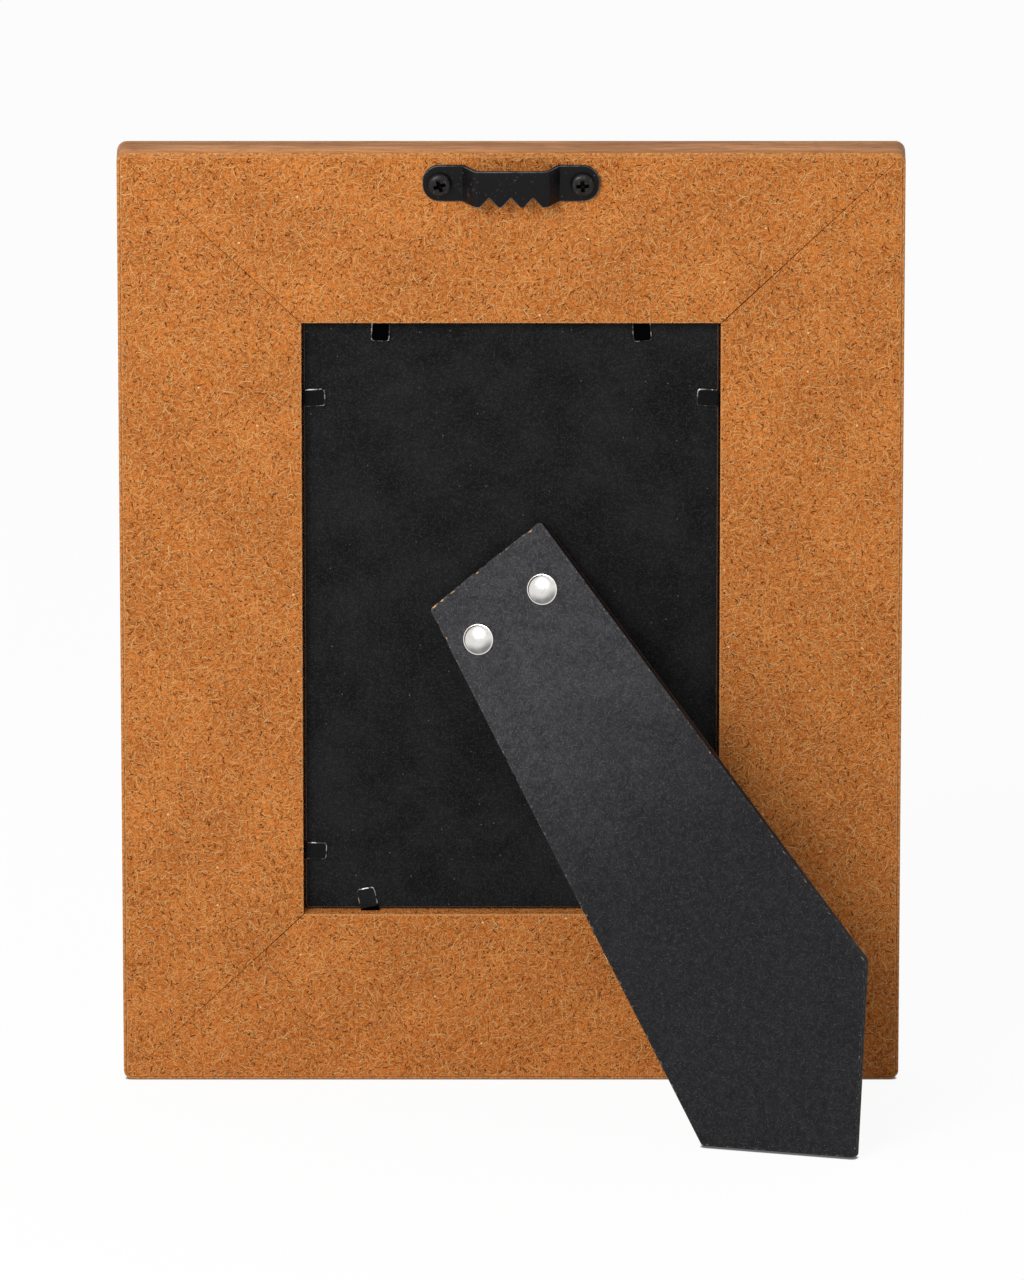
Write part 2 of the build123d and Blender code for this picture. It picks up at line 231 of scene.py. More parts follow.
def makeFinish(name, want, paint, coordinates):
    # paint gives the colour, what the roughness follows, the bump's height and any other sockets;
    # rough is the range it follows and the roughness there, bump its strength and its depth in millimetres
    finish = newFinish(name)
    colour, follows, height, *others = paint(want, coordinates())
    strength, depth = want["bump"]
    inputs = {"Height": height, "Strength": strength, "Distance": depth * mm}
    looks = {
        "Base Color": colour,
        "Roughness": fade(follows, *want["rough"]),
        "Normal": node("ShaderNodeBump", inputs),
        **want.get("shader", {}),
        **dict(others),
    }
    sockets = bench["tree"].nodes["Principled BSDF"].inputs
    for key, value in looks.items():
        connect(value, sockets[key])
    return finish


socketKinds = {float: "NodeSocketFloat", int: "NodeSocketInt", tuple: "NodeSocketVector"}


def newTree(name, wants, kind="GeometryNodeTree", output="Geometry", outputKind="NodeSocketGeometry"):
    # a size is its socket's start value, and a socket without one is given by its kind
    tree = bpy.data.node_groups.new(name, kind)
    for key, value in wants.items():
        hasStart = not isinstance(value, str)
        socketKind = socketKinds[type(value)] if hasStart else value
        made = tree.interface.new_socket(key, in_out="INPUT", socket_type=socketKind)
        if hasStart:
            made.default_value = value
    tree.interface.new_socket(output, in_out="OUTPUT", socket_type=outputKind)
    bench["tree"] = tree
    return tree, {socket.name: Value(socket) for socket in tree.nodes.new("NodeGroupInput").outputs}


def newShape(name, base, sizes):
    # turns a base mesh into a piece that takes its finish
    return newTree(name, {base: "NodeSocketGeometry", **sizes, "Finish": "NodeSocketMaterial"})


def closed(tree, value):
    connect(value, tree.nodes.new("NodeGroupOutput").inputs[0])
    return tree


# Short loose fibres: one stroke in each cell, at its own turn, bow and strength
def makeFibreGroup():
    wants = {"Vector": (0.0, 0.0, 0.0), "Cell": 2.0, "Length": 2.0, "Width": 0.2, "Bow": 0.2, "Seed": 0.0}
    tree, given = newTree("boardFibres", wants, "ShaderNodeTree", "Fibre", "NodeSocketFloat")
    cell, width, reach = given["Cell"], given["Width"], given["Length"] * 0.5
    shift = vector(given["Seed"], given["Seed"] * 1.7)
    spot = onVectors("ADD", scaled(given["Vector"], 1.0 / cell), shift)
    cells = add("ShaderNodeTexVoronoi", {"Vector": spot, "Scale": 1.0}, voronoi_dimensions="2D").outputs
    fromMiddle = scaled(onVectors("SUBTRACT", spot, Value(cells["Position"])), cell)
    chance = split(Value(cells["Color"]), "ShaderNodeSeparateColor")
    inputs = {"Vector": fromMiddle, "Angle": chance[0] * math.tau}
    flat = split(node("ShaderNodeVectorRotate", inputs, rotation_type="Z_AXIS"))
    bent = flat[1] - (chance[1] - 0.5) * given["Bow"] * (flat[0] * flat[0])
    across = fade(abs(bent), width, width * 0.2)
    along = fade(abs(flat[0]), reach, reach * 0.55)
    return closed(tree, across * along * chance[2])


fibreGroup = makeFibreGroup()


def fibres(spot, cell, length, width, bow, seed):
    inputs = {"Vector": spot, "Cell": cell, "Length": length, "Width": width, "Bow": bow, "Seed": seed}
    return node("ShaderNodeGroup", inputs, node_tree=fibreGroup)


def layered(spot, rows):
    return topmost(*[fibres(spot, *row) for row in rows])


def dots(spot, pitch, size, start, end):
    # small round specks, one to a cell, and only in the cells whose chance is high
    inputs = {"Vector": spot, "Scale": 1.0 / pitch}
    cells = add("ShaderNodeTexVoronoi", inputs, voronoi_dimensions="2D").outputs
    speck = fade(Value(cells["Distance"]), size / pitch, 0.5 * size / pitch)
    return speck * fade(Value(cells["Color"]), start, end)


# Bare fibreboard of the rails
boardFinish = {
    "pale": (0.640, 0.198, 0.034),
    "deep": (0.485, 0.140, 0.022),
    "lightFibre": (0.82, 0.50, 0.200),
    "darkFibre": (0.17, 0.042, 0.007),
    "speck": (0.82, 0.56, 0.30),
    "fleck": (0.070, 0.0155, 0.0036),
    "raw": (0.62, 0.30, 0.110),
    # layers of fibres: cell, length, width, bow, seed
    "curls": [
        (2.7, 3.4, 0.18, 0.6, 28.4),
        (1.9, 2.3, 0.17, 0.9, 1.0),
        (1.35, 1.7, 0.16, 1.4, 5.3),
        (0.95, 1.2, 0.15, 2.2, 9.1),
    ],
    "strokes": [
        (2.4, 3.0, 0.20, 0.7, 41.5),
        (1.6, 2.0, 0.19, 1.1, 14.2),
        (1.1, 1.4, 0.18, 1.8, 17.7),
        (0.85, 1.0, 0.16, 2.2, 21.4),
    ],
    "strand": (5.5, 4.6, 0.22, 0.5, 25.6),
    "smallFleck": (2.6, 1.1, 0.24, 0.8, 31.2),
    "largeFleck": (4.1, 1.6, 0.26, 0.5, 37.9),
    "speckShift": (57.0, 31.0, 0.0),
    "shader": {"Specular IOR Level": 0.12},
    "rough": (0.0, 1.0, 0.72, 0.9),
    "bump": (0.9, 0.12),
}


def paintBoard(want, spot):
    fine = blotches(spot, 0.75, 4.0, 0.7, 0.6)
    curls = layered(spot, want["curls"])
    strokes = layered(spot, want["strokes"])
    strands = fade(fibres(spot, *want["strand"]), 0.50, 0.75)
    smallFlecks = fade(fibres(spot, *want["smallFleck"]), 0.36, 0.6)
    largeFlecks = fade(fibres(spot, *want["largeFleck"]), 0.40, 0.65)
    flecks = topmost(smallFlecks, largeFlecks) * 0.95
    pits = dots(spot, 3.2, 0.32, 0.64, 0.76)
    specks = dots(onVectors("ADD", spot, want["speckShift"]), 11.0, 0.34, 0.62, 0.72)
    edge = fade(marked("edge") + fine * 0.4, 0.75, 1.2)
    colour = painted(
        want,
        mixed(blotches(spot, 0.045, 5.0, 0.6), want["deep"], want["pale"]),
        (fine * 0.3, "darkFibre"),
        (strokes * 0.74, "darkFibre"),
        (curls * 0.60, "lightFibre"),
        (strands * 0.65, "lightFibre"),
        (topmost(flecks, pits) * 0.85, "fleck"),
        (specks, "speck"),
        (edge * 0.6, "raw"),
    )
    raised = fine * 0.5 + curls + strands
    return colour, fine, raised - strokes - flecks - pits


# Thin wood veneer wrapped round the front and the sides, raw where it is cut at the back
veneerFinish = {
    "pale": (0.66, 0.285, 0.098),
    "deep": (0.30, 0.120, 0.040),
    "pore": (0.13, 0.050, 0.018),
    "rawTop": (0.68, 0.275, 0.066),
    "rawDeep": (0.30, 0.095, 0.022),
    "glueLine": (0.15, 0.056, 0.026),
    "sway": 9.0,
    "shader": {"Specular IOR Level": 0.14},
    "rough": (0.0, 1.0, 0.42, 0.58),
    "bump": (0.3, 0.05),
}


def paintVeneer(want, spot):
    sway = cloud(stretched(spot, 0.012, 0.05), 1.0) * want["sway"]
    lines = onVectors("ADD", spot, vector(0.0, sway))
    bands = blotches(stretched(lines, 0.012, 0.25), 1.0, 3.0, 0.6)
    streaks = fade(cloud(stretched(lines, 0.07, 0.75), 1.0, 4.0, 0.7, 0.4), 0.35, 0.7)
    pores = fade(cloud(stretched(lines, 0.22, 1.7), 1.0, 4.0, 0.7), 0.52, 0.68)
    torn = cloud(spot, 0.7, 4.0, 0.7) - 0.5
    raw = mixed(fade(cloud(spot, 1.1, 4.0, 0.7), 0.35, 0.65), want["rawTop"], want["rawDeep"])
    colour = painted(
        want,
        mixed(bands, want["deep"], want["pale"]),
        (streaks * 0.75, "deep"),
        (pores * 0.6, "pore"),
        (fade(marked("cut") + torn * 1.1, 0.45, 0.65), raw),
        (fade(marked("edge") + torn * 0.9, 0.45, 1.1) * 0.5, "glueLine"),
    )
    return colour, streaks, streaks * 0.4 - pores


# Black fibre backing, with dust and a rubbed edge that also carries a painted highlight
backingFinish = {
    "black": (0.0060, 0.0061, 0.0066),
    "grey": (0.0150, 0.0152, 0.0160),
    "fibre": (0.052, 0.052, 0.054),
    "dust": (0.22, 0.20, 0.18),
    "wearAndPaintedLight": (0.10, 0.085, 0.070),
    "hairs": [(1.5, 1.4, 0.12, 1.2, 3.0), (1.0, 0.9, 0.11, 1.6, 8.0), (0.7, 0.6, 0.10, 2.2, 12.0)],
    "shader": {"Specular IOR Level": 0.05},
    "rough": (0.0, 1.0, 0.7, 0.9),
    "bump": (0.4, 0.06),
}


def paintBacking(want, spot):
    mottle = blotches(spot, 0.5, 4.0, 0.65)
    hairs = layered(spot, want["hairs"])
    colour = painted(
        want,
        mixed(blotches(spot, 0.06, 5.0, 0.65), want["black"], want["grey"]),
        (mottle * 0.25, "black"),
        (hairs * 0.48, "fibre"),
        (dots(spot, 1.9, 0.15, 0.5, 0.9) * 0.6, "fibre"),
        (dots(spot, 7.0, 0.2, 0.5, 0.8) * 0.5, "dust"),
        # wear and a painted highlight: a paler rim along the board's edge
        (fade(marked("edge") + mottle * 0.3, 0.7, 1.1) * 0.9, "wearAndPaintedLight"),
    )
    return colour, mottle, hairs + mottle * 0.4


# Dark hardboard leg, tan where its edges are rubbed through
legFinish = {
    "topGrey": (0.046, 0.046, 0.049),
    "footGrey": (0.0134, 0.0134, 0.0147),
    "fibre": (0.150, 0.153, 0.163),
    "dark": (0.010, 0.010, 0.0115),
    "deepGrey": (0.0055, 0.0055, 0.0062),
    "tan": (0.62, 0.37, 0.170),
    "side": (0.0060, 0.0066, 0.0085),
    "brown": (0.110, 0.040, 0.022),
    "wearAndPaintedLight": (0.24, 0.215, 0.185),
    "hairs": [(1.6, 1.7, 0.085, 1.0, 2.0), (1.1, 1.1, 0.080, 1.6, 6.0), (0.75, 0.7, 0.075, 2.2, 11.0)],
    "pit": (1.1, 1.1, 0.16, 1.2, 19.0),
    "paleAbove": 4.0,  # painted shade: from here down the leg it darkens
    "darkBelow": -102.0,
    "shader": {"Specular IOR Level": 0.10},
    "rough": (0.0, 1.0, 0.6, 0.82),
    "bump": (0.4, 0.07),
}


def paintLeg(want, spot):
    mottle = blotches(spot, 0.45, 4.0, 0.65)
    # painted shade: the colour darkens down the leg towards its foot, where its hairs fade too
    low = fade(split(spot)[1], want["paleAbove"], want["darkBelow"])
    low = low + (cloud(spot, 0.045, 3.0) - 0.5) * 0.5
    hairs = layered(spot, want["hairs"])
    pits = fibres(spot, *want["pit"])
    edge = marked("edge")  # 0.5 on the rubbed edge, 1 on the side, 2 at the far edge
    rough = cloud(spot, 0.8, 4.0, 0.7) - 0.5
    wearAndPaintedLight = fade(edge, 0.2, 0.5) * fade(rough, 0.04, 0.14)
    colour = painted(
        want,
        mixed(fade(low, 0.0, 1.0), want["topGrey"], want["footGrey"]),
        (mottle * 0.35, "dark"),
        (blotches(spot, 0.10, 5.0, 0.65) * 0.34, "deepGrey"),
        (hairs * fade(low, 0.0, 1.0, 0.58, 0.26), "fibre"),
        (dots(spot, 1.7, 0.15, 0.55, 0.9) * 0.5, "fibre"),
        (pits * 0.6, "dark"),
        (wearAndPaintedLight * 0.7, "wearAndPaintedLight"),
        (fade(edge, 0.6, 0.85), "side"),
        (fade(edge + rough, 1.4, 1.75), "brown"),
        (fade(marked("worn") + rough * 0.6, 0.5, 0.8), "tan"),
    )
    return colour, mottle, hairs + mottle * 0.5 - pits


# Black points, bare along the rim; a painted shade leaves some of them deeper black and the rest greyer
pointFinish = {
    "deep": (0.0008, 0.0008, 0.0008),
    "black": (0.0101, 0.0101, 0.0108),
    "grey": (0.0188, 0.0188, 0.0197),
    "bareSteel": (0.40, 0.38, 0.36),
    "darkSteel": (0.040, 0.038, 0.036),
    "shader": {"Specular IOR Level": 0.006},
    "rough": (0.0, 1.0, 0.38, 0.55),
    "bump": (0.2, 0.03),
}


def paintPoint(want, spot):
    grainy = blotches(spot, 2600.0, 3.0, 0.6)
    bare = fade(marked("bare") + (grainy - 0.5) * 0.5, 0.45, 0.7)
    dull = fade(cloud(spot, 650.0, 3.0, 0.6), 0.38, 0.54)
    # painted shade: a low value leaves the coat its deepest black
    coat = mixed(marked("wearAndPaintedLight"), want["deep"], mixed(grainy, want["black"], want["grey"]))
    colour = mixed(bare, coat, mixed(dull, want["bareSteel"], want["darkSteel"]))
    return colour, grainy, grainy, ("Metallic", bare * 0.9)


# Lacquered hanger, with a painted highlight that makes its eased edges paler
hangerFinish = {
    "lacquer": (0.0040, 0.0040, 0.0045),
    "worn": (0.40, 0.40, 0.395),
    "rim": (0.100, 0.118, 0.142),
    "shader": {"Specular IOR Level": 0.13},
    "rough": (0.3, 0.7, 0.34, 0.46),
    "bump": (0.15, 0.04),
}


def paintHanger(want, spot):
    orange = cloud(spot, 1400.0)
    wearAndPaintedLight = fade(cloud(spot, 420.0, 4.0, 0.7), 0.60, 0.78)
    specks = fade(cloud(spot, 1500.0, 2.0, 0.6), 0.66, 0.76)
    # painted highlight: a pale bluish rim on the eased edges, broken up by noise
    rim = marked("edge") * fade(cloud(spot, 300.0, 3.0, 0.6), 0.36, 0.62, 0.22, 1.0)
    coat = mixed(wearAndPaintedLight * 0.10, want["lacquer"], want["worn"])
    return painted(want, coat, (specks * 0.16, "worn"), (rim, "rim")), orange, orange


# Dark plated screws, with a painted shade that blackens the recess
screwFinish = {
    "dark": (0.026, 0.0235, 0.0232),
    "worn": (0.16, 0.143, 0.133),
    "grimeAndPaintedShade": (0.0040, 0.0040, 0.0045),
    "shader": {"Metallic": 0.85},
    "rough": (0.0, 1.0, 0.30, 0.48),
    "bump": (0.15, 0.03),
}


def paintScrew(want, spot):
    grimeAndPaintedShade = blotches(spot, 900.0, 4.0, 0.65)
    scratch = fade(cloud(stretched(spot, 2200.0, 700.0, 700.0), 1.0), 0.55, 0.8)
    plating = mixed(scratch * 0.5, want["dark"], want["worn"])
    # grime in patches, and a painted shade that blackens the cross recess
    colour = painted(want, plating, (grimeAndPaintedShade * 0.35, "grimeAndPaintedShade"), (marked("recess") * 0.9, "grimeAndPaintedShade"))
    return colour, grimeAndPaintedShade, grimeAndPaintedShade


# Bright rivets, dulled by a painted shade on the lower side of the dome, and coppery at the flange
rivetFinish = {
    "bright": (0.74, 0.725, 0.70),
    "dull": (0.46, 0.42, 0.37),
    "grimeAndPaintedShade": (0.135, 0.135, 0.139),
    "copper": (0.48, 0.27, 0.15),
    "shader": {"Metallic": 1.0},
    "rough": (0.3, 0.7, 0.14, 0.24),
    "bump": (0.08, 0.02),
}


def paintRivet(want, spot):
    tarnish = fade(cloud(spot, 500.0, 4.0, 0.65), 0.45, 0.8)
    speckle = cloud(spot, 3000.0)
    # painted shade on the lower side of the dome, broken up by the tarnish
    grimeAndPaintedShade = marked("grimeAndPaintedShade") * fade(tarnish, 0.0, 0.6, 1.0, 0.75)
    metal = mixed(tarnish * 0.35, want["bright"], want["dull"])
    colour = painted(want, metal, (grimeAndPaintedShade * 0.85, "grimeAndPaintedShade"), (marked("flange") * 0.7, "copper"))
    return colour, speckle, speckle


# Brushed steel of the hinge
hingeFinish = {
    "steel": (0.40, 0.40, 0.395),
    "dull": (0.24, 0.235, 0.23),
    "shader": {"Metallic": 0.95},
    "rough": (0.3, 0.7, 0.30, 0.5),
    "bump": (0.15, 0.03),
}


def paintHinge(want, spot):
    brushed = cloud(stretched(spot, 300.0, 2400.0, 2400.0), 1.0, 3.0, 0.6)
    dull = fade(cloud(spot, 260.0, 4.0, 0.65), 0.4, 0.75)
    return mixed(dull * 0.8, want["steel"], want["dull"]), brushed, brushed


# Clear glass, greener and denser at its cut edge, with a few faint smears
glassFinish = {
    "clear": (0.80, 0.86, 0.85),
    "edge": (0.22, 0.42, 0.36),
    "bend": 1.5,
    "rough": (0.0, 1.0, 0.03, 0.12),
    "bump": (0.05, 0.02),
}


def paintGlass(want, spot):
    smear = fade(cloud(stretched(spot, 0.02, 0.05), 1.0, 4.0, 0.6, 0.8), 0.5, 0.8)
    edge = marked("edge")
    # painted reflection: the pale glass colour grows more solid at grazing angles
    shine = node("ShaderNodeFresnel", {"IOR": want["bend"]})
    solid = calc("MINIMUM", edge * 0.55 + smear * 0.025 + 0.05 + shine, 1.0)
    return mixed(edge, want["clear"], want["edge"]), smear, smear, ("Alpha", solid)


# Printed paper: a plain white border round soft rolling hills
printFinish = {
    "paper": (0.86, 0.84, 0.79),
    "skyTop": (0.34, 0.54, 0.74),
    "skyLow": (0.94, 0.82, 0.62),
    "hills": [((0.46, 0.54, 0.54), 6.0), ((0.27, 0.40, 0.28), -16.0), ((0.14, 0.25, 0.11), -40.0)],
    "hillRise": 58.0,
    "hillStart": 11.0,
    "hillApart": 37.0,
    "hillDepth": 40.0,
    "hillSoft": 0.25,
    "haze": 30.0,
    "skyHeight": 90.0,
    "half": (44.0, 71.0),
    "borderSoft": 0.1,
    "shader": {"Specular IOR Level": 0.2},
    "rough": (0.0, 1.0, 0.6, 0.75),
    "bump": (0.1, 0.02),
}


def paintPrint(want, spot):
    flat = split(spot)[:2]
    haze = cloud(stretched(spot, 0.012, 0.05), 1.0, 4.0) * want["haze"]
    colour = mixed(fade(flat[1] + haze, 0.0, want["skyHeight"]), want["skyLow"], want["skyTop"])
    soft = want["hillSoft"]
    for number, (hill, level) in enumerate(want["hills"]):
        line = vector(flat[0], want["hillApart"] * number + want["hillStart"])
        under = (cloud(line, 0.022, 3.0) - 0.5) * want["hillRise"] + level - flat[1]
        side = mixed(fade(under, 0.0, want["hillDepth"]) * 0.35, hill, want["hills"][-1][0])
        colour = mixed(fade(under, -soft, soft), colour, side)
    within = [fade(abs(at), half + want["borderSoft"], half) for at, half in zip(flat, want["half"])]
    tooth = blotches(spot, 2.2, 4.0, 0.7)
    colour = mixed(within[0] * within[1], want["paper"], colour)
    return mixed(tooth * 0.08, colour, want["skyLow"]), tooth, tooth


finishes = {
    "mdf": makeFinish("bareFibreboard", boardFinish, paintBoard, onSurface),
    "veneer": makeFinish("satinVeneer", veneerFinish, paintVeneer, onSurface),
    "backing": makeFinish("blackFibreBacking", backingFinish, paintBacking, onSurface),
    "leg": makeFinish("darkHardboard", legFinish, paintLeg, onSurface),
    "point": makeFinish("blackPointBareRim", pointFinish, paintPoint, onObject),
    "hanger": makeFinish("blackLacquerHanger", hangerFinish, paintHanger, onObject),
    "screw": makeFinish("darkPlatedScrew", screwFinish, paintScrew, onObject),
    "rivet": makeFinish("brightRivet", rivetFinish, paintRivet, onObject),
    "hinge": makeFinish("brushedHinge", hingeFinish, paintHinge, onObject),
    "glass": makeFinish("clearGlass", glassFinish, paintGlass, onSurface),
    "insert": makeFinish("printedPaper", printFinish, paintPrint, onSurface),
}
print("finishes", len(finishes))


def bakedMesh(holder):
    # what the holder's modifiers build, as a plain mesh
    ready = holder.evaluated_get(bpy.context.evaluated_depsgraph_get())
    mesh = bpy.data.meshes.new_from_object(ready)
    bpy.data.objects.remove(holder)
    return mesh


def finishPiece(mesh, name, place, slot, body, nodes, crease=35.0):
    mesh.name = name
    mesh.transform(place)
    mesh.shade_smooth()
    mesh.set_sharp_from_angle(angle=math.radians(crease))
    mesh.materials.clear()
    mesh.materials.append(finishes[slot])
    piece = bpy.data.objects.new(name, mesh)
    scene.collection.objects.link(piece)
    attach(piece, body)
    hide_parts(*nodes)


def growPiece(tree, base, values, name, place, slot, *about):
    # a built tree turns the base mesh into the piece, with its sizes set by the sockets' own identifiers
    holder = bpy.data.objects.new(base.name, base)
    scene.collection.objects.link(holder)
    build = holder.modifiers.new("build", "NODES")
    build.node_group = tree
    values = {**values, "Finish": finishes[slot]}
    for item in tree.interface.items_tree:
        if item.in_out == "INPUT" and item.name in values:
            build[item.identifier] = values[item.name]
    mesh = bakedMesh(holder)
    finishPiece(mesh, name, place, slot, *about)
    return mesh


def finishNode(name, slot):
    # a solid that keeps its own shape and only takes a finish
    slots = frame["nodes"][name].data.materials
    slots.clear()
    slots.append(finishes[slot])


# Steps that the built shapes share
def position():
    return node("GeometryNodeInputPosition")


def named(name, kind="FLOAT"):
    return node("GeometryNodeInputNamedAttribute", {"Name": name}, data_type=kind)


def stored(mesh, name, value, kind="FLOAT", domain="POINT"):
    inputs = {"Geometry": mesh, "Name": name, "Value": value}
    return node("GeometryNodeStoreNamedAttribute", inputs, data_type=kind, domain=domain)


def gridMesh(sizeX, pointsX, pointsY):
    inputs = {"Size X": sizeX, "Size Y": 1.0, "Vertices X": pointsX, "Vertices Y": pointsY}
    return node("GeometryNodeMeshGrid", inputs)


def movedTo(mesh, place):
    return node("GeometryNodeSetPosition", {"Geometry": mesh, "Position": place})


def merged(mesh, distance):
    return node("GeometryNodeMergeByDistance", {"Geometry": mesh, "Distance": distance})


def plainMesh(mesh, finish):
    real = node("GeometryNodeRealizeInstances", {"Geometry": mesh})
    return node("GeometryNodeSetMaterial", {"Geometry": real, "Material": finish})


# Mitred rails: the base mesh is the section, swept along the side and cut at 45 degrees
def makeMitreTree():
    sizes = {
        "Half length": 96.5,
        "Corner round": 1.8,
        "Stations": 400,
        "Chip": 0.3,
        "Chip pitch": 1.0,
        "Gap start": 0.05,
        "Gap end": 0.05,
        "Gap low": 0.5,
        "Gap outside": 0.45,
        "Cut tone": 1.0,
        "Rim tone": 1.0,
        "Seed": 1.0,
    }
    tree, given = newShape("mitredMoulding", "Section", sizes)
    half, bend, seed = given["Half length"], given["Corner round"], given["Seed"]
    count = node("GeometryNodeAttributeDomainSize", {0: given["Section"]}, "Point Count")
    rows = given["Stations"] + 2.0  # one more at each end closes the mitre face
    grid = gridMesh(1.0, count, rows)
    spot = split(position())
    column = calc("ROUND", (spot[0] + 0.5) * (count - 1.0))
    row = calc("ROUND", (spot[1] + 0.5) * (rows - 1.0))

    def fromSection(value, kind):
        inputs = {"Geometry": given["Section"], "Value": value, "Index": column}
        return node("GeometryNodeSampleIndex", inputs, data_type=kind)

    def sectionMark(name, kind="FLOAT"):
        return fromSection(named(name, kind), kind)

    step = (row - 1.0) / (given["Stations"] - 1.0)
    inBounds = calc("MINIMUM", topmost(step, 0.0), 1.0)
    isCap = abs(step - inBounds) > 0.00001
    along = inBounds * 2.0 - 1.0
    # chips eat into the marked edges, more where the noise is high
    chipSpot = vector(along * half * given["Chip pitch"], column * 0.37 + seed, seed)
    bite = fade(cloud(chipSpot, 1.0, 3.0, 0.65), 0.42, 0.82, 0.06, 1.0) * given["Chip"]
    chipped = scaled(sectionMark("chipWay", "FLOAT_VECTOR"), bite)
    chipped = onVectors("ADD", fromSection(position(), "FLOAT_VECTOR"), chipped)
    inputs = {0: isCap, 4: chipped, 5: sectionMark("core", "FLOAT_VECTOR")}
    across, depth = split(node("ShaderNodeMix", inputs, 1, data_type="VECTOR"))[:2]
    # straight run to the mitre, and round the outer corner near the outside
    reach = abs(along)
    straightEnd = half - bend
    bendStart = straightEnd / half
    turn = topmost((reach - bendStart) / (1.0 - bendStart), 0.0) * math.radians(45)
    radius = topmost(bend - across, 0.0)
    nearOut = across < bend
    bentRun = calc("MINIMUM", reach * half, straightEnd) + radius * calc("SINE", turn)
    run = chosen(nearOut, reach * (half - across), bentRun)
    inward = chosen(nearOut, across, bend - radius * calc("COSINE", turn))
    # the joint gapes most at the inner corner
    gap = chosen(along > 0.0, given["Gap start"], given["Gap end"])
    gapNoise = cloud(vector(across * 0.12, seed, along), 1.0, 3.0)
    gap = gap * fade(gapNoise, 0.35, 0.6, given["Gap low"], 1.2)
    gap = gap * fade(across, 6.0, 26.0, given["Gap outside"], 1.0)
    run = (run - gap * reach ** 60.0) * calc("SIGN", along)
    mesh = stored(grid, "grain", vector(run, sectionMark("run")), "FLOAT2", "CORNER")
    mesh = stored(mesh, "edge", sectionMark("edge") * given["Rim tone"])
    mesh = stored(mesh, "cut", sectionMark("cut") * given["Cut tone"])
    # every mark reads the flat grid's own position, so the places are stored before the grid moves
    mesh = stored(mesh, "place", vector(run, -inward, depth), "FLOAT_VECTOR")
    mesh = movedTo(mesh, named("place", "FLOAT_VECTOR"))
    mesh = node("GeometryNodeRemoveAttribute", {"Geometry": mesh, "Name": "place"})
    return closed(tree, plainMesh(merged(mesh, 0.0005), given["Finish"]))


def sectionMesh(name, points):
    # each point: its place inward and out, what it closes to at the mitre, its marks and the way it chips
    mesh = bpy.data.meshes.new(name)
    mesh.from_pydata([(*point["at"], 0.0) for point in points], [], [])
    runs = [0.0]
    for before, after in zip(points, points[1:]):
        runs.append(runs[-1] + math.dist(before["at"], after["at"]))
    marks = {key: [point.get(key, 0.0) for point in points] for key in ("edge", "cut")}
    for key, values in {**marks, "run": runs}.items():
        mesh.attributes.new(key, "FLOAT", "POINT").data.foreach_set("value", values)
    for key in ("core", "chipWay"):
        layer = mesh.attributes.new(key, "FLOAT_VECTOR", "POINT")
        for item, point in zip(layer.data, points):
            item.vector = (*point.get(key, (0.0, 0.0)), 0.0)
    return mesh


# Sections of a rail and of its veneer; the names with a capital are sizes of the tree
railSection = {
    "rebate": 7.8,
    "coreBack": 10.3,
    "lipIn": 49.3,
    "bevel": 1.75,
    "soft": 0.10,
    "fringe": 0.9,
    "closeAt": (30.0, -9.0),
    "chipWay": 0.8,
    "Chip": 0.55,
    "Chip pitch": 0.8,
    "Rim tone": 1.0,
}
veneerSection = {
    "edgeRound": 3.5,
    "sightRound": 0.6,
    "soft": 0.14,
    "fringe": 0.7,
    "arcSteps": 8,
    "sightSteps": 3,
    "Chip": 0.8,
    "Chip pitch": 0.5,
    "Gap start": 0.01,
    "Gap end": 0.01,
}


def coreSection():
    want = railSection
    out, wide, soft, fringe = frameSize["veneer"], frameSize["railW"], want["soft"], want["fringe"]
    inset, low, bevel, chip = want["lipIn"], want["coreBack"], want["bevel"], want["chipWay"]
    points = [
        {"at": (out, -fringe)},
        {"at": (out, -soft), "edge": 1.0, "chipWay": (0.0, -chip)},
        {"at": (out + soft, 0.0), "edge": 1.0, "chipWay": (chip, 0.0)},
        {"at": (out + fringe, 0.0)},
        {"at": (wide - fringe, 0.0)},
        {"at": (wide - soft, 0.0), "edge": 1.0, "chipWay": (-chip, 0.0)},
        {"at": (wide, -soft), "edge": 1.0, "chipWay": (0.0, -chip)},
        {"at": (wide, -fringe)},
        {"at": (wide, -want["rebate"])},
        {"at": (inset, -want["rebate"])},
        {"at": (inset, -low)},
        {"at": (out + bevel, -low)},
        {"at": (out, bevel - low)},
        {"at": (out, -fringe)},
    ]
    for point in points:
        point["core"] = want["closeAt"]
    return sectionMesh("railSection", points)


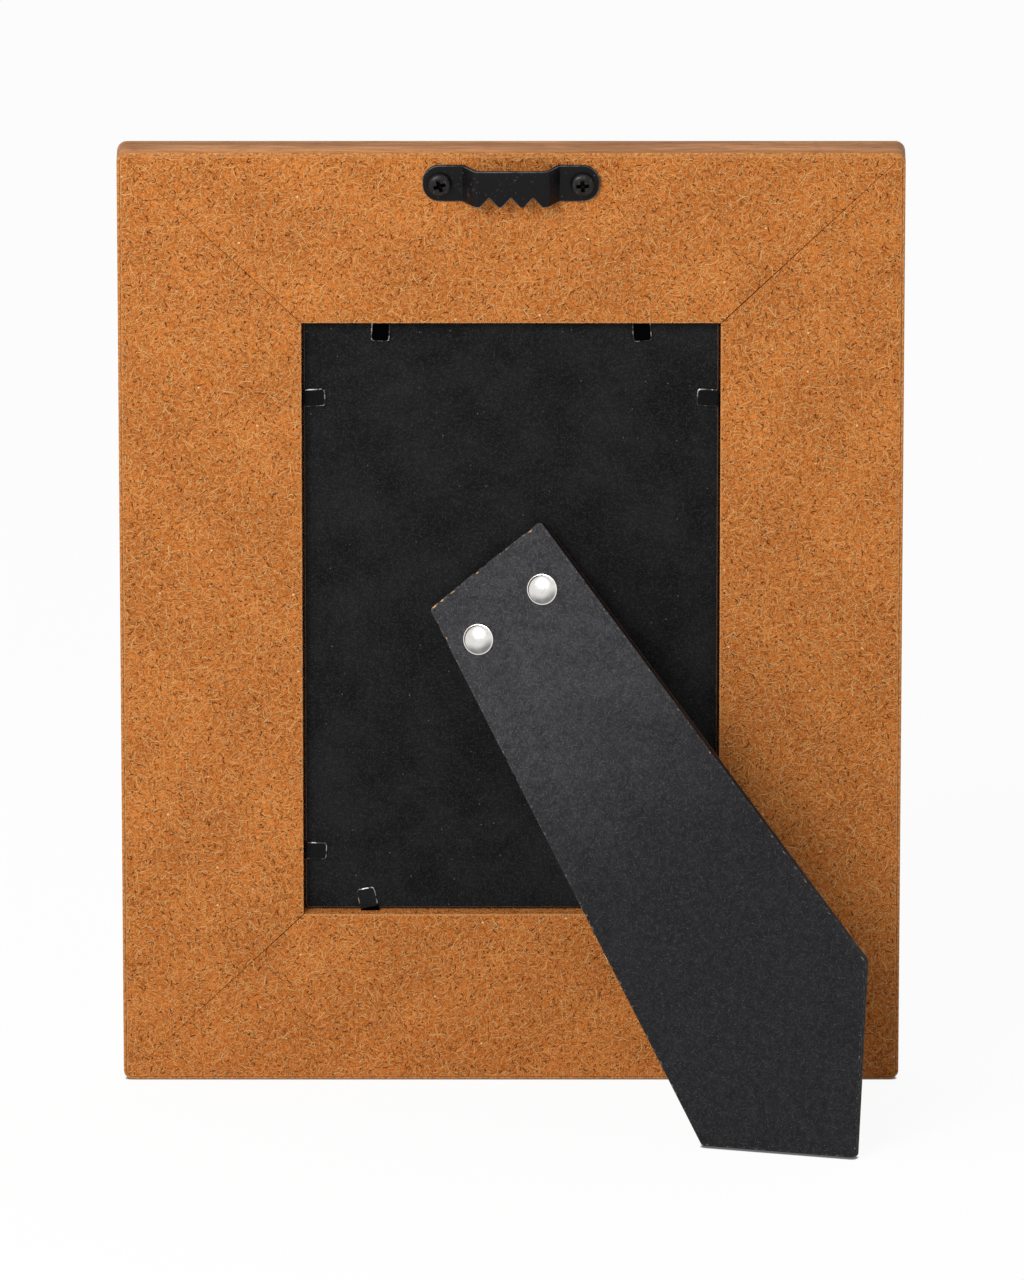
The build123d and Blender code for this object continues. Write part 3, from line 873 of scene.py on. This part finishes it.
def wrapSection():
    want = veneerSection
    thin, front, soft, fringe = frameSize["veneer"], -frameSize["thick"], want["soft"], want["fringe"]
    sight = frameSize["railW"] + frameSize["lip"]
    rebate, coreBack, bevel = -railSection["rebate"], -railSection["coreBack"], railSection["bevel"]
    lipIn = railSection["lipIn"]
    pairs = [  # outside of the wrap, inside of the wrap
        ({"at": (soft, 0.0), "cut": 1.0, "chipWay": (0.3, 0.0)},
         {"at": (thin, 0.0), "cut": 1.0, "edge": 1.0}),
        ({"at": (0.0, -soft), "cut": 0.8, "chipWay": (0.0, -0.5)}, {"at": (thin, -soft)}),
        ({"at": (0.0, -fringe)}, {"at": (thin, -fringe)}),
    ]
    r = want["edgeRound"]
    for step in range(want["arcSteps"] + 1):
        part = step / want["arcSteps"]
        turn = part * math.pi / 2
        outside = (r - r * math.cos(turn), front + r - r * math.sin(turn))
        pairs.append(({"at": outside}, {"at": (thin + bevel * part, coreBack + bevel * (1 - part))}))
    r = want["sightRound"]
    for step in range(want["sightSteps"] + 1):
        turn = step / want["sightSteps"] * math.pi / 2
        outside = (sight - r + r * math.sin(turn), front + r - r * math.cos(turn))
        pairs.append(({"at": outside}, {"at": (lipIn, coreBack)}))
    pairs.append(({"at": (sight, rebate)}, {"at": (lipIn, rebate)}))
    for outside, inside in pairs:
        middle = tuple((a + b) / 2 for a, b in zip(outside["at"], inside["at"]))
        outside["core"] = inside["core"] = middle
    loop = [inside for outside, inside in pairs] + [outside for outside, inside in reversed(pairs)]
    return sectionMesh("veneerSection", loop + [loop[0]])


railSides = {
    # way along the side, mitre gaps at the start and the end of the run, the least share of a gap, and the
    # tones of the veneer's cut edge and rim
    "top": {"along": (1, 0), "Gap start": 0.15, "Gap end": 0.24, "Gap low": 0.3, "Cut tone": 1.0,
            "Rim tone": 0.0, "Seed": 3.0},
    "bottom": {"along": (-1, 0), "Gap start": 0.08, "Gap end": 0.24, "Gap low": 0.5, "Cut tone": 0.85,
               "Rim tone": 1.0, "Seed": 11.0},
    "left": {"along": (0, 1), "Gap start": 0.20, "Gap end": 0.15, "Gap low": 0.3, "Cut tone": 0.85,
             "Rim tone": 1.0, "Seed": 19.0},
    "right": {"along": (0, -1), "Gap start": 0.24, "Gap end": 0.08, "Gap low": 0.5, "Cut tone": 0.85,
              "Rim tone": 1.0, "Seed": 27.0},
}
stationPitch = 0.45
mitreTree = makeMitreTree()


def makeRails():
    for side, want in railSides.items():
        x, y = want["along"]
        along = rightDir * x + upDir * y
        outerMiddle = backPlace @ Vector((-y * frameW / 2, (1 + x) * frameH / 2, 0.0))
        place = placed(along, outDir.cross(along), outDir, outerMiddle)
        length = frameW if x else frameH
        sizes = {
            **want,
            "Half length": length / 2,
            "Stations": int(length / stationPitch),
            "Corner round": frameSize["cornerRound"],
        }
        values = {**sizes, **railSection}
        about = ("mdf", "frame", [side + "_rail"])
        rail = growPiece(mitreTree, coreSection(), values, side + "Rail", place, *about)
        values = {**sizes, **veneerSection}
        about = ("veneer", "frame", [side + "_veneer"])
        wrap = growPiece(mitreTree, wrapSection(), values, side + "Veneer", place, *about)
        print(side, "rail", len(rail.polygons), "faces, veneer", len(wrap.polygons))


makeRails()


# Flat boards: rings from the middle of one face, over the edge, to the middle of the other
def roundedCorners(halfW, halfH, corner, parts, first=0):
    # four arcs, turning left all the way round from the upper right corner, or the lower right at first -1
    outline = []
    for number in range(first, first + 4):
        x, y = ((1, 1), (-1, 1), (-1, -1), (1, -1))[number % 4]
        for part in range(parts + 1):
            turn = math.radians(90 * (number + part / parts))
            across = x * (halfW - corner) + corner * math.cos(turn)
            outline.append((across, y * (halfH - corner) + corner * math.sin(turn)))
    return outline


def divided(outline, step):
    dense = []
    for a, b in zip(outline, outline[1:] + outline[:1]):
        count = max(1, round(math.dist(a, b) / step))
        for part in range(count):
            dense.append((a[0] + (b[0] - a[0]) * part / count, a[1] + (b[1] - a[1]) * part / count))
    return dense


chipShape = {"drop": 0.6, "worn": 2.5}  # how far a chip sinks the edge, and how soon it shows bare


def boardMesh(outline, rings, bite=None):
    # rings: inset from the outline, height, edge mark, share of the chip
    # bite gives a chip's size at a place on the outline
    count = len(outline)
    ways = []
    for number in range(count):
        before, after = Vector(outline[number - 1]), Vector(outline[(number + 1) % count])
        way = (after - before).normalized()
        ways.append(Vector((-way.y, way.x)))
    shape = bmesh.new()
    edgeLayer = shape.verts.layers.float.new("edge")
    wornLayer = shape.verts.layers.float.new("worn")
    grainLayer = shape.loops.layers.uv.new("grain")
    loops = []
    grain = {}
    for inset, height, edge, chip in rings:
        loop = []
        for (x, y), way in zip(outline, ways):
            size = bite(x, y) if bite else 0.0
            spot = Vector((x, y)) + way * (inset + chip * size)
            drop = chipShape["drop"] * size if chip and not inset else 0.0
            vert = shape.verts.new((*spot, height - drop))
            vert[edgeLayer] = edge
            vert[wornLayer] = min(1.0, chipShape["worn"] * size) if chip else 0.0
            grain[vert] = spot if inset else spot - way * abs(height)
            loop.append(vert)
        loops.append(loop)
    shape.faces.new(loops[0])
    for upper, lower in zip(loops, loops[1:]):
        for number in range(count):
            after = (number + 1) % count
            shape.faces.new((upper[number], lower[number], lower[after], upper[after]))
    shape.faces.new(list(reversed(loops[-1])))
    for face in shape.faces:
        for corner in face.loops:
            corner[grainLayer].uv = grain[corner.vert]
    mesh = bpy.data.meshes.new("board")
    shape.to_mesh(mesh)
    shape.free()
    return mesh


sheetSize = {
    "gap": 0.5,
    "corner": 1.2,
    "step": 1.0,
    "backingTop": -3.0,
    "backingLow": -5.5,
    "insertLow": -5.8,
    "glassLow": -7.8,
    "clear": 0.02,
    "rub": 0.12,
    "rubPitch": 0.3,
}
sheetW = frameSize["openingW"] - 2 * sheetSize["gap"]
sheetH = frameSize["openingH"] - 2 * sheetSize["gap"]


def makeSheets():
    want = sheetSize
    middle = placed(rightDir, upDir, outDir, backPlace @ Vector((0.0, frameH / 2, 0.0)))
    outline = divided(roundedCorners(sheetW / 2, sheetH / 2, want["corner"], 4), want["step"])

    def rub(x, y):
        return want["rub"] * noise.noise((x * want["rubPitch"], y * want["rubPitch"], 4.0))

    def makeSheet(name, slot, solid, rings, bite=None):
        finishPiece(boardMesh(outline, rings, bite), name, middle, slot, "frame", [solid])

    top, low = want["backingTop"], want["backingLow"]
    rings = [(1.0, top, 0.0, 0), (0.45, top, 0.35, 0), (0.18, top - 0.03, 1.0, 0.5),
             (0.0, top - 0.25, 1.0, 0), (0.0, low + 0.2, 0.5, 0), (0.2, low, 0.5, 0), (1.0, low, 0.0, 0)]
    makeSheet("backingBoard", "backing", "backing_board", rings, rub)
    top, low = want["backingLow"] - want["clear"], want["insertLow"] + want["clear"]
    rings = [(1.0, top, 0.0, 0), (0.0, top, 1.0, 0), (0.0, low, 1.0, 0), (1.0, low, 0.0, 0)]
    makeSheet("printInsert", "insert", "insert", rings)
    top, low = want["insertLow"] - want["clear"], want["glassLow"]
    rings = [(1.0, top, 0.0, 0), (0.9, top, 0.0, 0), (0.15, top, 1.0, 0), (0.0, top - 0.15, 1.0, 0),
             (0.0, low + 0.15, 1.0, 0), (0.15, low, 1.0, 0), (0.9, low, 0.0, 0), (1.0, low, 0.0, 0)]
    makeSheet("glassPane", "glass", "glass", rings)
    print("sheets", sheetW, "by", sheetH)


makeSheets()


# Leg: the outline of its solid, with eased edges chipped most at the top left corner
legBoard = {
    "ease": 0.18,
    "step": 0.3,
    "cornerZone": 1.5,  # how far below the top edge its corners are looked for
    "topZone": 0.7,  # how far below it the top chips reach
    # chips along an edge: place from the left corner or, on the long edges, from the top; half length, depth
    "topChips": [(0.0, 3.0, 0.50), (3.6, 2.0, 0.42), (7.4, 0.9, 0.34), (10.0, 0.5, 0.32),
                 (15.4, 0.6, 0.34), (18.2, 0.7, 0.30), (24.0, 0.5, 0.34), (32.5, 0.9, 0.44)],
    "leftChips": [(4.7, 0.6, 0.30), (8.8, 0.8, 0.42), (41.0, 0.5, 0.32), (46.0, 0.5, 0.30),
                  (84.0, 0.5, 0.30)],
    "rightChips": [(19.0, 0.4, 0.30), (27.0, 0.5, 0.30), (66.0, 0.6, 0.34), (71.0, 0.6, 0.34)],
    "ragPitch": 1.1,
}


def makeLeg():
    want = legBoard
    flatten = legPlace.inverted()
    spots = [flatten @ vert.co for vert in frame["nodes"]["easel_leg"].data.vertices]
    low, high = min(spot.z for spot in spots), max(spot.z for spot in spots)
    flat = [spot.xy for spot in spots]
    hull = [tuple(flat[number]) for number in geometry.convex_hull_2d(flat)]
    if sum(a[0] * b[1] - b[0] * a[1] for a, b in zip(hull, hull[1:] + hull[:1])) < 0:
        hull.reverse()
    outline = divided(hull, want["step"])
    topEdge = max(y for x, y in outline)
    nearTop = [x for x, y in outline if y > topEdge - want["cornerZone"]]
    topLeft = min(nearTop)
    between = (topLeft + max(nearTop)) / 2

    def bite(x, y):
        along, chips = x - topLeft, want["topChips"]
        if y < topEdge - want["topZone"]:
            along, chips = topEdge - y, want["leftChips"] if x < between else want["rightChips"]
        rag = 0.75 + 0.5 * noise.noise((x * want["ragPitch"], y * want["ragPitch"], 2.0))
        return rag * max(depth * math.exp(-(((along - at) / reach) ** 4)) for at, reach, depth in chips)

    ease = want["ease"]
    middle = (high + low) / 2
    rings = [(0.95, high, 0.0, 0), (ease, high, 0.5, 1), (0.0, high - ease, 0.6, 1),
             (0.0, high - 0.6, 1.0, 0), (0.0, middle, 1.0, 0), (0.0, low + ease, 1.8, 0),
             (ease, low, 2.0, 0), (0.95, low, 0.0, 0)]
    board = boardMesh(outline, rings, bite)
    finishPiece(board, "easelLeg", legPlace, "leg", "leg", ["easel_leg"])
    print("leg", len(board.polygons), "faces")


makeLeg()


# Turned heads: a grid rolled round the axis, its radius and height read from a profile
def makeTurnedTree(name, profile):
    tree, given = newTree(name, {"Radius": 3.0, "Height": 1.0, "Sides": 48})
    grid = gridMesh(1.0, len(profile), given["Sides"] + 1.0)
    spot = split(position())
    along = spot[0] + 0.5
    turn = (spot[1] + 0.5) * math.tau

    def curved(values):
        made = add("ShaderNodeFloatCurve", {"Value": along})
        points = made.mapping.curves[0].points
        last = len(values) - 1
        points[0].location = (0.0, values[0])
        points[1].location = (1.0, values[last])
        for number in range(1, last):
            points.new(number / last, values[number])
        for point in points:
            point.handle_type = "VECTOR"
        made.mapping.update()
        return Value(made.outputs[0])

    radius = curved([r for r, z in profile]) * given["Radius"]
    height = curved([z for r, z in profile]) * given["Height"]
    place = vector(radius * calc("COSINE", turn), radius * calc("SINE", turn), height)
    return closed(tree, merged(movedTo(grid, place), 0.002))


def domedProfile(steps, rim):
    # round dome inside a narrow flange, then in under the head
    wide, arc = 0.92, 1.3
    low = math.cos(arc)
    dome = []
    for step in range(steps + 1):
        turn = arc * step / steps
        height = rim + (1 - rim) * (math.cos(turn) - low) / (1 - low)
        dome.append((wide * math.sin(turn) / math.sin(arc), height))
    flange = [(0.935, 0.97), (0.96, 1.02), (0.98, 0.95), (1.0, 0.6), (1.0, 0.25), (0.985, 0.0),
              (0.0, 0.0)]
    return dome + [(r, rim * z) for r, z in flange]


domeProfile = domedProfile(14, 0.28)
panProfile = [(0.0, 1.0), (0.25, 1.0), (0.45, 0.99), (0.60, 0.965), (0.72, 0.92), (0.82, 0.85),
              (0.90, 0.75), (0.95, 0.64), (0.985, 0.50), (1.0, 0.36), (1.0, 0.20), (1.0, 0.08), (0.97, 0.0),
              (0.5, 0.0), (0.3, 0.0), (0.1, 0.0), (0.0, 0.0)]
domeTree = makeTurnedTree("turnedDome", domeProfile)
panTree = makeTurnedTree("turnedPan", panProfile)


def spotsMesh(name, spots, turns=None):
    mesh = bpy.data.meshes.new(name)
    mesh.from_pydata([(*spot, 0.0) for spot in spots], [], [])
    layer = mesh.attributes.new("turn", "FLOAT", "POINT")
    for number, turn in enumerate(turns or []):
        layer.data[number].value = math.radians(turn)
    return mesh


def onSpots(tree, given, shape):
    # one on each point of the base mesh, at its own turn, and plain mesh at the end
    turned = vector(0.0, 0.0, named("turn"))
    inputs = {"Points": given["Spots"], "Instance": shape, "Rotation": turned}
    copies = node("GeometryNodeInstanceOnPoints", inputs)
    return closed(tree, plainMesh(copies, given["Finish"]))


def turnedHead(turnedTree, given, part):
    inputs = {size: given[part + " " + size.lower()] for size in ("Radius", "Height")}
    return node("GeometryNodeGroup", {**inputs, "Sides": given["Sides"]}, node_tree=turnedTree)


def shifted(mesh, z, turn=(0.0, 0.0, 0.0)):
    inputs = {"Geometry": mesh, "Translation": vector(0.0, 0.0, z), "Rotation": turn}
    return node("GeometryNodeTransform", inputs)


def joined(*meshes):
    made = add("GeometryNodeJoinGeometry")
    for mesh in meshes:
        connect(mesh, made.inputs[0])
    return Value(made.outputs[0])


# Domed rivets through the leg and through the hinge's base leaf
rivetSizes = {
    "Head radius": 3.9,
    "Head height": 1.3,
    "Shank radius": 1.5,
    "Grip": 3.6,
    "Tail radius": 2.4,
    "Tail height": 0.8,
    "Sides": 64,
}


def makeRivetTree():
    tree, given = newShape("domedRivets", "Spots", rivetSizes)
    x, y = split(position())[:2]
    reach = calc("SQRT", x ** 2.0 + y ** 2.0) / given["Head radius"]
    # painted shade: a dark crescent on the lower side of the dome, fading out before the flange
    below = (x * -0.4 + y * -0.92) / given["Head radius"]
    grimeAndPaintedShade = fade(reach, 0.30, 0.75) * fade(below, 0.0, 0.65) * fade(reach, 0.95, 0.89)
    head = stored(turnedHead(domeTree, given, "Head"), "grimeAndPaintedShade", grimeAndPaintedShade)
    head = stored(head, "flange", fade(reach, 0.965, 1.0))
    under = -given["Grip"]
    tail = shifted(turnedHead(domeTree, given, "Tail"), under, (math.pi, 0.0, 0.0))
    inputs = {"Vertices": 24, "Radius": given["Shank radius"], "Depth": given["Grip"]}
    shank = shifted(node("GeometryNodeMeshCylinder", inputs), under * 0.5)
    return onSpots(tree, given, joined(head, tail, shank))


rivets = {
    # places, height of the seat, and the sizes that differ
    "leg": {"spots": [(-10.35, -5.0), (10.35, -5.0)], "seat": 4.85},
    "base": {"spots": [(-10.35, -10.5), (10.35, -10.5)], "seat": -1.4, "Head radius": 2.5,
             "Head height": 0.9, "Grip": 2.2},
}
headCrease = 40.0
rivetTree = makeRivetTree()


def makeRivets():
    for name, body, plane in (("leg", "leg", legPlace), ("base", "frame", hingePlace)):
        want = rivets[name]
        base = spotsMesh(name + "RivetSpots", want["spots"])
        place = plane @ Matrix.Translation((0.0, 0.0, want["seat"]))
        nodes = ["left_" + name + "_rivet", "right_" + name + "_rivet"]
        growPiece(rivetTree, base, want, name + "Rivets", place, "rivet", body, nodes, headCrease)
    print("rivets", len(rivets) * 2)


makeRivets()


# Pan head screws with a tapered cross recess
screwSizes = {
    "Head radius": 2.95,
    "Head height": 1.9,
    "Recess length": 3.7,
    "Recess width": 1.15,
    "Recess depth": 1.6,
    "Recess taper": 0.7,
    "Shank radius": 1.4,
    "Shank length": 7.0,
    "Tip radius": 0.15,
    "Sides": 56,
}


def makeScrewTree():
    tree, given = newShape("crossHeadScrews", "Spots", screwSizes)

    def slotCutter(turn):
        size = vector(given["Recess length"], given["Recess width"], given["Recess depth"] * 2.0)
        block = node("GeometryNodeMeshCube", {"Size": size})
        x, y, z = split(position())
        low = fade(z, 0.0, -given["Recess depth"], 1.0, given["Recess taper"])
        # the recess faces are marked for the finish's painted shade
        block = stored(movedTo(block, vector(x * low, y * low, z)), "recess", 1.0, domain="FACE")
        return shifted(block, given["Head height"], (0.0, 0.0, turn))

    head = turnedHead(panTree, given, "Head")
    for turn in (0.0, math.pi / 2):
        head = node("GeometryNodeMeshBoolean", {0: head, 1: slotCutter(turn)}, operation="DIFFERENCE")
    inputs = {
        "Vertices": 20,
        "Radius Top": given["Shank radius"],
        "Radius Bottom": given["Tip radius"],
        "Depth": given["Shank length"],
    }
    shank = shifted(node("GeometryNodeMeshCone", inputs), -given["Shank length"])
    return onSpots(tree, given, joined(head, shank))


screws = {"spots": [(-17.5, 0.0), (17.5, 0.0)], "turns": [20.0, 3.0], "seat": 0.9, "drop": 7.6}
screwTree = makeScrewTree()


def makeScrews():
    want = screws
    base = spotsMesh("screwSpots", want["spots"], want["turns"])
    place = backPlace @ Matrix.Translation((0.0, frameH - want["drop"], want["seat"]))
    nodes = ["left_hanger_screw", "right_hanger_screw"]
    growPiece(screwTree, base, {}, "hangerScrews", place, "screw", "frame", nodes, headCrease)
    print("screws", len(want["spots"]))


makeScrews()


# Bendable points: a small plate with square cut corners, its coat rubbed off along the rim
pointSizes = {
    "Length": 5.35,
    "Width": 4.6,
    "Thickness": 0.5,
    "Rim": 0.20,
    "Rim drop": 0.12,
    "Coat end": 0.05,
    "Squareness": 7.0,
    "Sides": 96,
    # painted light on the coat; less of it gives a deeper painted shade
    "Painted light": 0.57,
}


def makePointTree():
    tree, given = newShape("bendablePoint", "Spots", pointSizes)
    # columns: middle, coat's end, rim's start, rim's end, lower edge, middle underneath
    grid = gridMesh(5.0, 6, given["Sides"] + 1.0)
    spot = split(position())
    column = calc("ROUND", spot[0] + 2.5)
    turn = (spot[1] + 0.5) * math.tau
    onRim = abs(column - 2.5) < 2.0
    inset = given["Rim"] * fade(column, 3.0, 2.0) + (column < 1.5) * given["Coat end"]
    ways = [calc("COSINE", turn), calc("SINE", turn)]
    square = given["Squareness"]
    spread = (abs(ways[0]) ** square + abs(ways[1]) ** square) ** (-1.0 / square) * onRim
    flat = [(given[size] * 0.5 - inset) * spread * way for way, size in zip(ways, ("Length", "Width"))]
    top = given["Thickness"] * 0.5
    height = chosen(column > 3.5, top - (column > 2.5) * given["Rim drop"], -top)
    bare = (column > 1.5) * (column < 3.5) * fade(ways[0], -0.72, -0.62)  # black at the bend
    # where the rim is bare, and the painted light that sets the coat's black
    mesh = stored(stored(grid, "bare", bare), "wearAndPaintedLight", given["Painted light"])
    return onSpots(tree, given, merged(movedTo(mesh, vector(*flat, height)), 0.002))


pointPlate = {
    "start": -0.25,
    # painted shade for each point: the top points get the deepest black
    "wearAndPaintedLight": {"top_left": 0.0, "top_right": 0.02, "left_lower": 0.7, "bottom_left": 1.0},
    "crease": 25.0,
}
pointTree = makePointTree()


def makePoints():
    want = pointPlate
    spots = [(want["start"] + pointSizes["Length"] / 2, 0.0)]
    ending = "_point_bend"
    for name, joint in joints.items():
        if not name.endswith(ending):
            continue
        where = name.removesuffix(ending)
        yDir = -Vector(joint["axis"]).normalized()
        place = placed(yDir.cross(outDir), yDir, outDir, Vector(joint["pos_m"]))
        values = {"Painted light": want["wearAndPaintedLight"].get(where, pointSizes["Painted light"])}
        base = spotsMesh(where, spots)
        about = (where + "_tip", [where + "_point_tip"], want["crease"])
        growPiece(pointTree, base, values, where + "_tip_plate", place, "point", *about)
        finishNode(where + "_point_shank", "point")
    print("points", len(joints) - 1)


makePoints()


# Sawtooth hanger: cut flat with its notches, bent up into a bridge, then given its thickness
hanger = {
    "length": 43.3,
    "height": 9.4,
    "thick": 0.9,
    "endRound": 4.2,
    "drop": 7.6,
    "bridgeHalf": 8.4,
    "bridgeEnd": 11.5,
    "rise": 4.2,
    "bendRound": 1.4,
    "bendSteps": 8,
    "notches": (-5.4, 0.0, 5.4),
    "notchW": 4.6,
    "notchDepth": 2.5,
    "notchFloor": 0.24,
    "ease": 0.16,
    "easeAbove": 50.0,
}


def makeHanger():
    want = hanger
    halfL, halfH = want["length"] / 2, want["height"] / 2
    outline = []
    for middle in want["notches"]:
        for x, y in ((-want["notchW"], 0.0), (-want["notchFloor"], want["notchDepth"]),
                     (want["notchFloor"], want["notchDepth"]), (want["notchW"], 0.0)):
            outline.append((middle + x / 2, y - halfH))
    outline += roundedCorners(halfL, halfH, want["endRound"], 8, -1)
    shape = bmesh.new()
    shape.faces.new([shape.verts.new((x, y, 0.0)) for x, y in outline])
    r, end, half, rise = want["bendRound"], want["bridgeEnd"], want["bridgeHalf"], want["rise"]
    slope = math.atan2(rise, end - half)
    tangent = r * math.tan(slope / 2)
    short = tangent * math.cos(slope)
    steps = want["bendSteps"]
    for sign in (-1, 1):
        for low, high in ((end - short, end + tangent), (half - tangent, half + short)):
            for part in range(steps + 1):
                station = sign * (low + (high - low) * part / steps)
                everything = shape.verts[:] + shape.edges[:] + shape.faces[:]
                bmesh.ops.bisect_plane(shape, geom=everything, dist=0.0001, plane_co=(station, 0, 0),
                                       plane_no=(1, 0, 0))

    def height(x):
        # inner face of the bent strip: flat, hollow bend, slope, round bend, flat
        reach = abs(x)
        if reach >= end + tangent:
            return 0.0
        if reach > end - short:
            return r - math.sqrt(max(0.0, r * r - (end + tangent - reach) ** 2))
        if reach >= half + short:
            return (end - reach) * math.tan(slope)
        if reach > half - tangent:
            return rise - r + math.sqrt(max(0.0, r * r - (reach - half + tangent) ** 2))
        return rise

    for vert in shape.verts:
        vert.co.z = height(vert.co.x)
    bmesh.ops.recalc_face_normals(shape, faces=shape.faces[:])
    if sum(face.normal.z for face in shape.faces) < 0:
        bmesh.ops.reverse_faces(shape, faces=shape.faces[:])
    flat = bpy.data.meshes.new("hangerStrip")
    shape.to_mesh(flat)
    shape.free()
    holder = bpy.data.objects.new("hangerStrip", flat)
    scene.collection.objects.link(holder)
    wall = holder.modifiers.new("wall", "SOLIDIFY")
    wall.thickness = want["thick"]
    wall.offset = 1.0
    wall.use_even_offset = True
    ease = holder.modifiers.new("ease", "BEVEL")
    ease.width = want["ease"]
    ease.segments = 2
    ease.limit_method = "ANGLE"
    ease.angle_limit = math.radians(want["easeAbove"])
    ease.material = 1  # the second slot marks the eased edges
    flat.materials.append(finishes["hanger"])
    flat.materials.append(finishes["hanger"])
    mesh = bakedMesh(holder)
    rim = mesh.attributes.new("edge", "FLOAT", "CORNER")  # which the finish reads
    for face in mesh.polygons:
        for corner in face.loop_indices:
            rim.data[corner].value = 1.0 if face.material_index else 0.0
        face.material_index = 0
    place = backPlace @ Matrix.Translation((0.0, frameH - want["drop"], 0.0))
    finishPiece(mesh, "sawtoothHanger", place, "hanger", "frame", ["sawtooth_hanger"], headCrease)
    print("hanger", len(mesh.polygons), "faces")


makeHanger()

for name in ("hinge_base_leaf", "hinge_leg_leaf", "hinge_pin"):
    finishNode(name, "hinge")


# Floor, light and camera
studio = {
    "floorHalf": 4.0,
    "floorGlow": 0.930,
    "contactGlow": 0.12,
    "floorSeen": (0.07, 0.07, 0.07),
    "contactReach": 0.0012,
    "floorColour": (0.80, 0.80, 0.80),
    "ambient": 0.50,
    "lampFrom": (0.42, 0.75, 0.50),
    "lampAim": (0.0, 0.0, 0.13),
    "lampAway": 1.35,
    "lampStrength": 2.45,
    "lampSoft": 27.0,
}


def seenRays():
    # what the camera, metal and glass see
    rays = add("ShaderNodeLightPath").outputs
    kinds = ("Is Camera Ray", "Is Glossy Ray", "Is Transmission Ray")
    return topmost(*[Value(rays[kind]) for kind in kinds])


def makeStudio():
    want = studio
    half = want["floorHalf"]
    mesh = bpy.data.meshes.new("studioFloor")
    corners = [(-half, -half, 0), (half, -half, 0), (half, half, 0), (-half, half, 0)]
    mesh.from_pydata(corners, [], [(0, 1, 2, 3)])
    floor = bpy.data.objects.new("studioFloor", mesh)
    scene.collection.objects.link(floor)
    mesh.materials.append(newFinish("paleFloor"))
    nodes = bench["tree"].nodes
    nodes.remove(nodes["Principled BSDF"])
    seen = seenRays()
    plain = node("ShaderNodeBsdfDiffuse", {0: mixed(seen, want["floorColour"], want["floorSeen"])})
    # a contact shadow in the glow: dark where the frame and the leg touch it
    uncovered = node("ShaderNodeAmbientOcclusion", {"Distance": want["contactReach"]}, "AO")
    clear = fade(uncovered, 0.45, 0.8, want["contactGlow"], want["floorGlow"])
    glow = node("ShaderNodeEmission", {1: seen * clear})
    both = node("ShaderNodeAddShader", {0: plain, 1: glow})
    connect(both, nodes["Material Output"].inputs["Surface"])
    scene.world = bpy.data.worlds.new("studioWhite")
    scene.world.use_nodes = True
    bench["tree"] = scene.world.node_tree
    sky = bench["tree"].nodes["Background"].inputs
    sky["Color"].default_value = (1.0, 1.0, 1.0, 1.0)
    connect(seenRays() * (1.0 - want["ambient"]) + want["ambient"], sky["Strength"])
    lamp = bpy.data.lights.new("softLamp", "AREA")
    lamp.shape = "DISK"
    lamp.size = 2 * want["lampAway"] * math.tan(math.radians(want["lampSoft"] / 2))
    lamp.energy = want["lampStrength"] * math.pi * want["lampAway"] ** 2
    held = bpy.data.objects.new("softLamp", lamp)
    lampWay = Vector(want["lampFrom"]).normalized()
    held.location = Vector(want["lampAim"]) + lampWay * want["lampAway"]
    held.rotation_euler = lampWay.to_track_quat("Z", "Y").to_euler()
    scene.collection.objects.link(held)
    scene.view_settings.view_transform = "Standard"


view = {
    "away": 5.0,
    "height": 1.4039,
    "down": 14.4761,
    "focalPixels": 20832.8,
    "pictureW": 1024,
    "aside": 0.000225,
    "sensorW": 36.0,
    "farthest": 100.0,
}


def makeCamera():
    want = view
    lens = bpy.data.cameras.new("photoView")
    lens.sensor_fit = "HORIZONTAL"
    lens.sensor_width = want["sensorW"]
    lens.lens = want["focalPixels"] * want["sensorW"] / want["pictureW"]
    lens.clip_end = want["farthest"]
    camera = bpy.data.objects.new("photoView", lens)
    camera.location = (-want["aside"], backOrigin.y + want["away"], want["height"])
    camera.rotation_euler = (math.radians(90 - want["down"]), 0.0, math.radians(180))
    scene.collection.objects.link(camera)
    scene.camera = camera


makeStudio()
makeCamera()
print("studio and camera set")
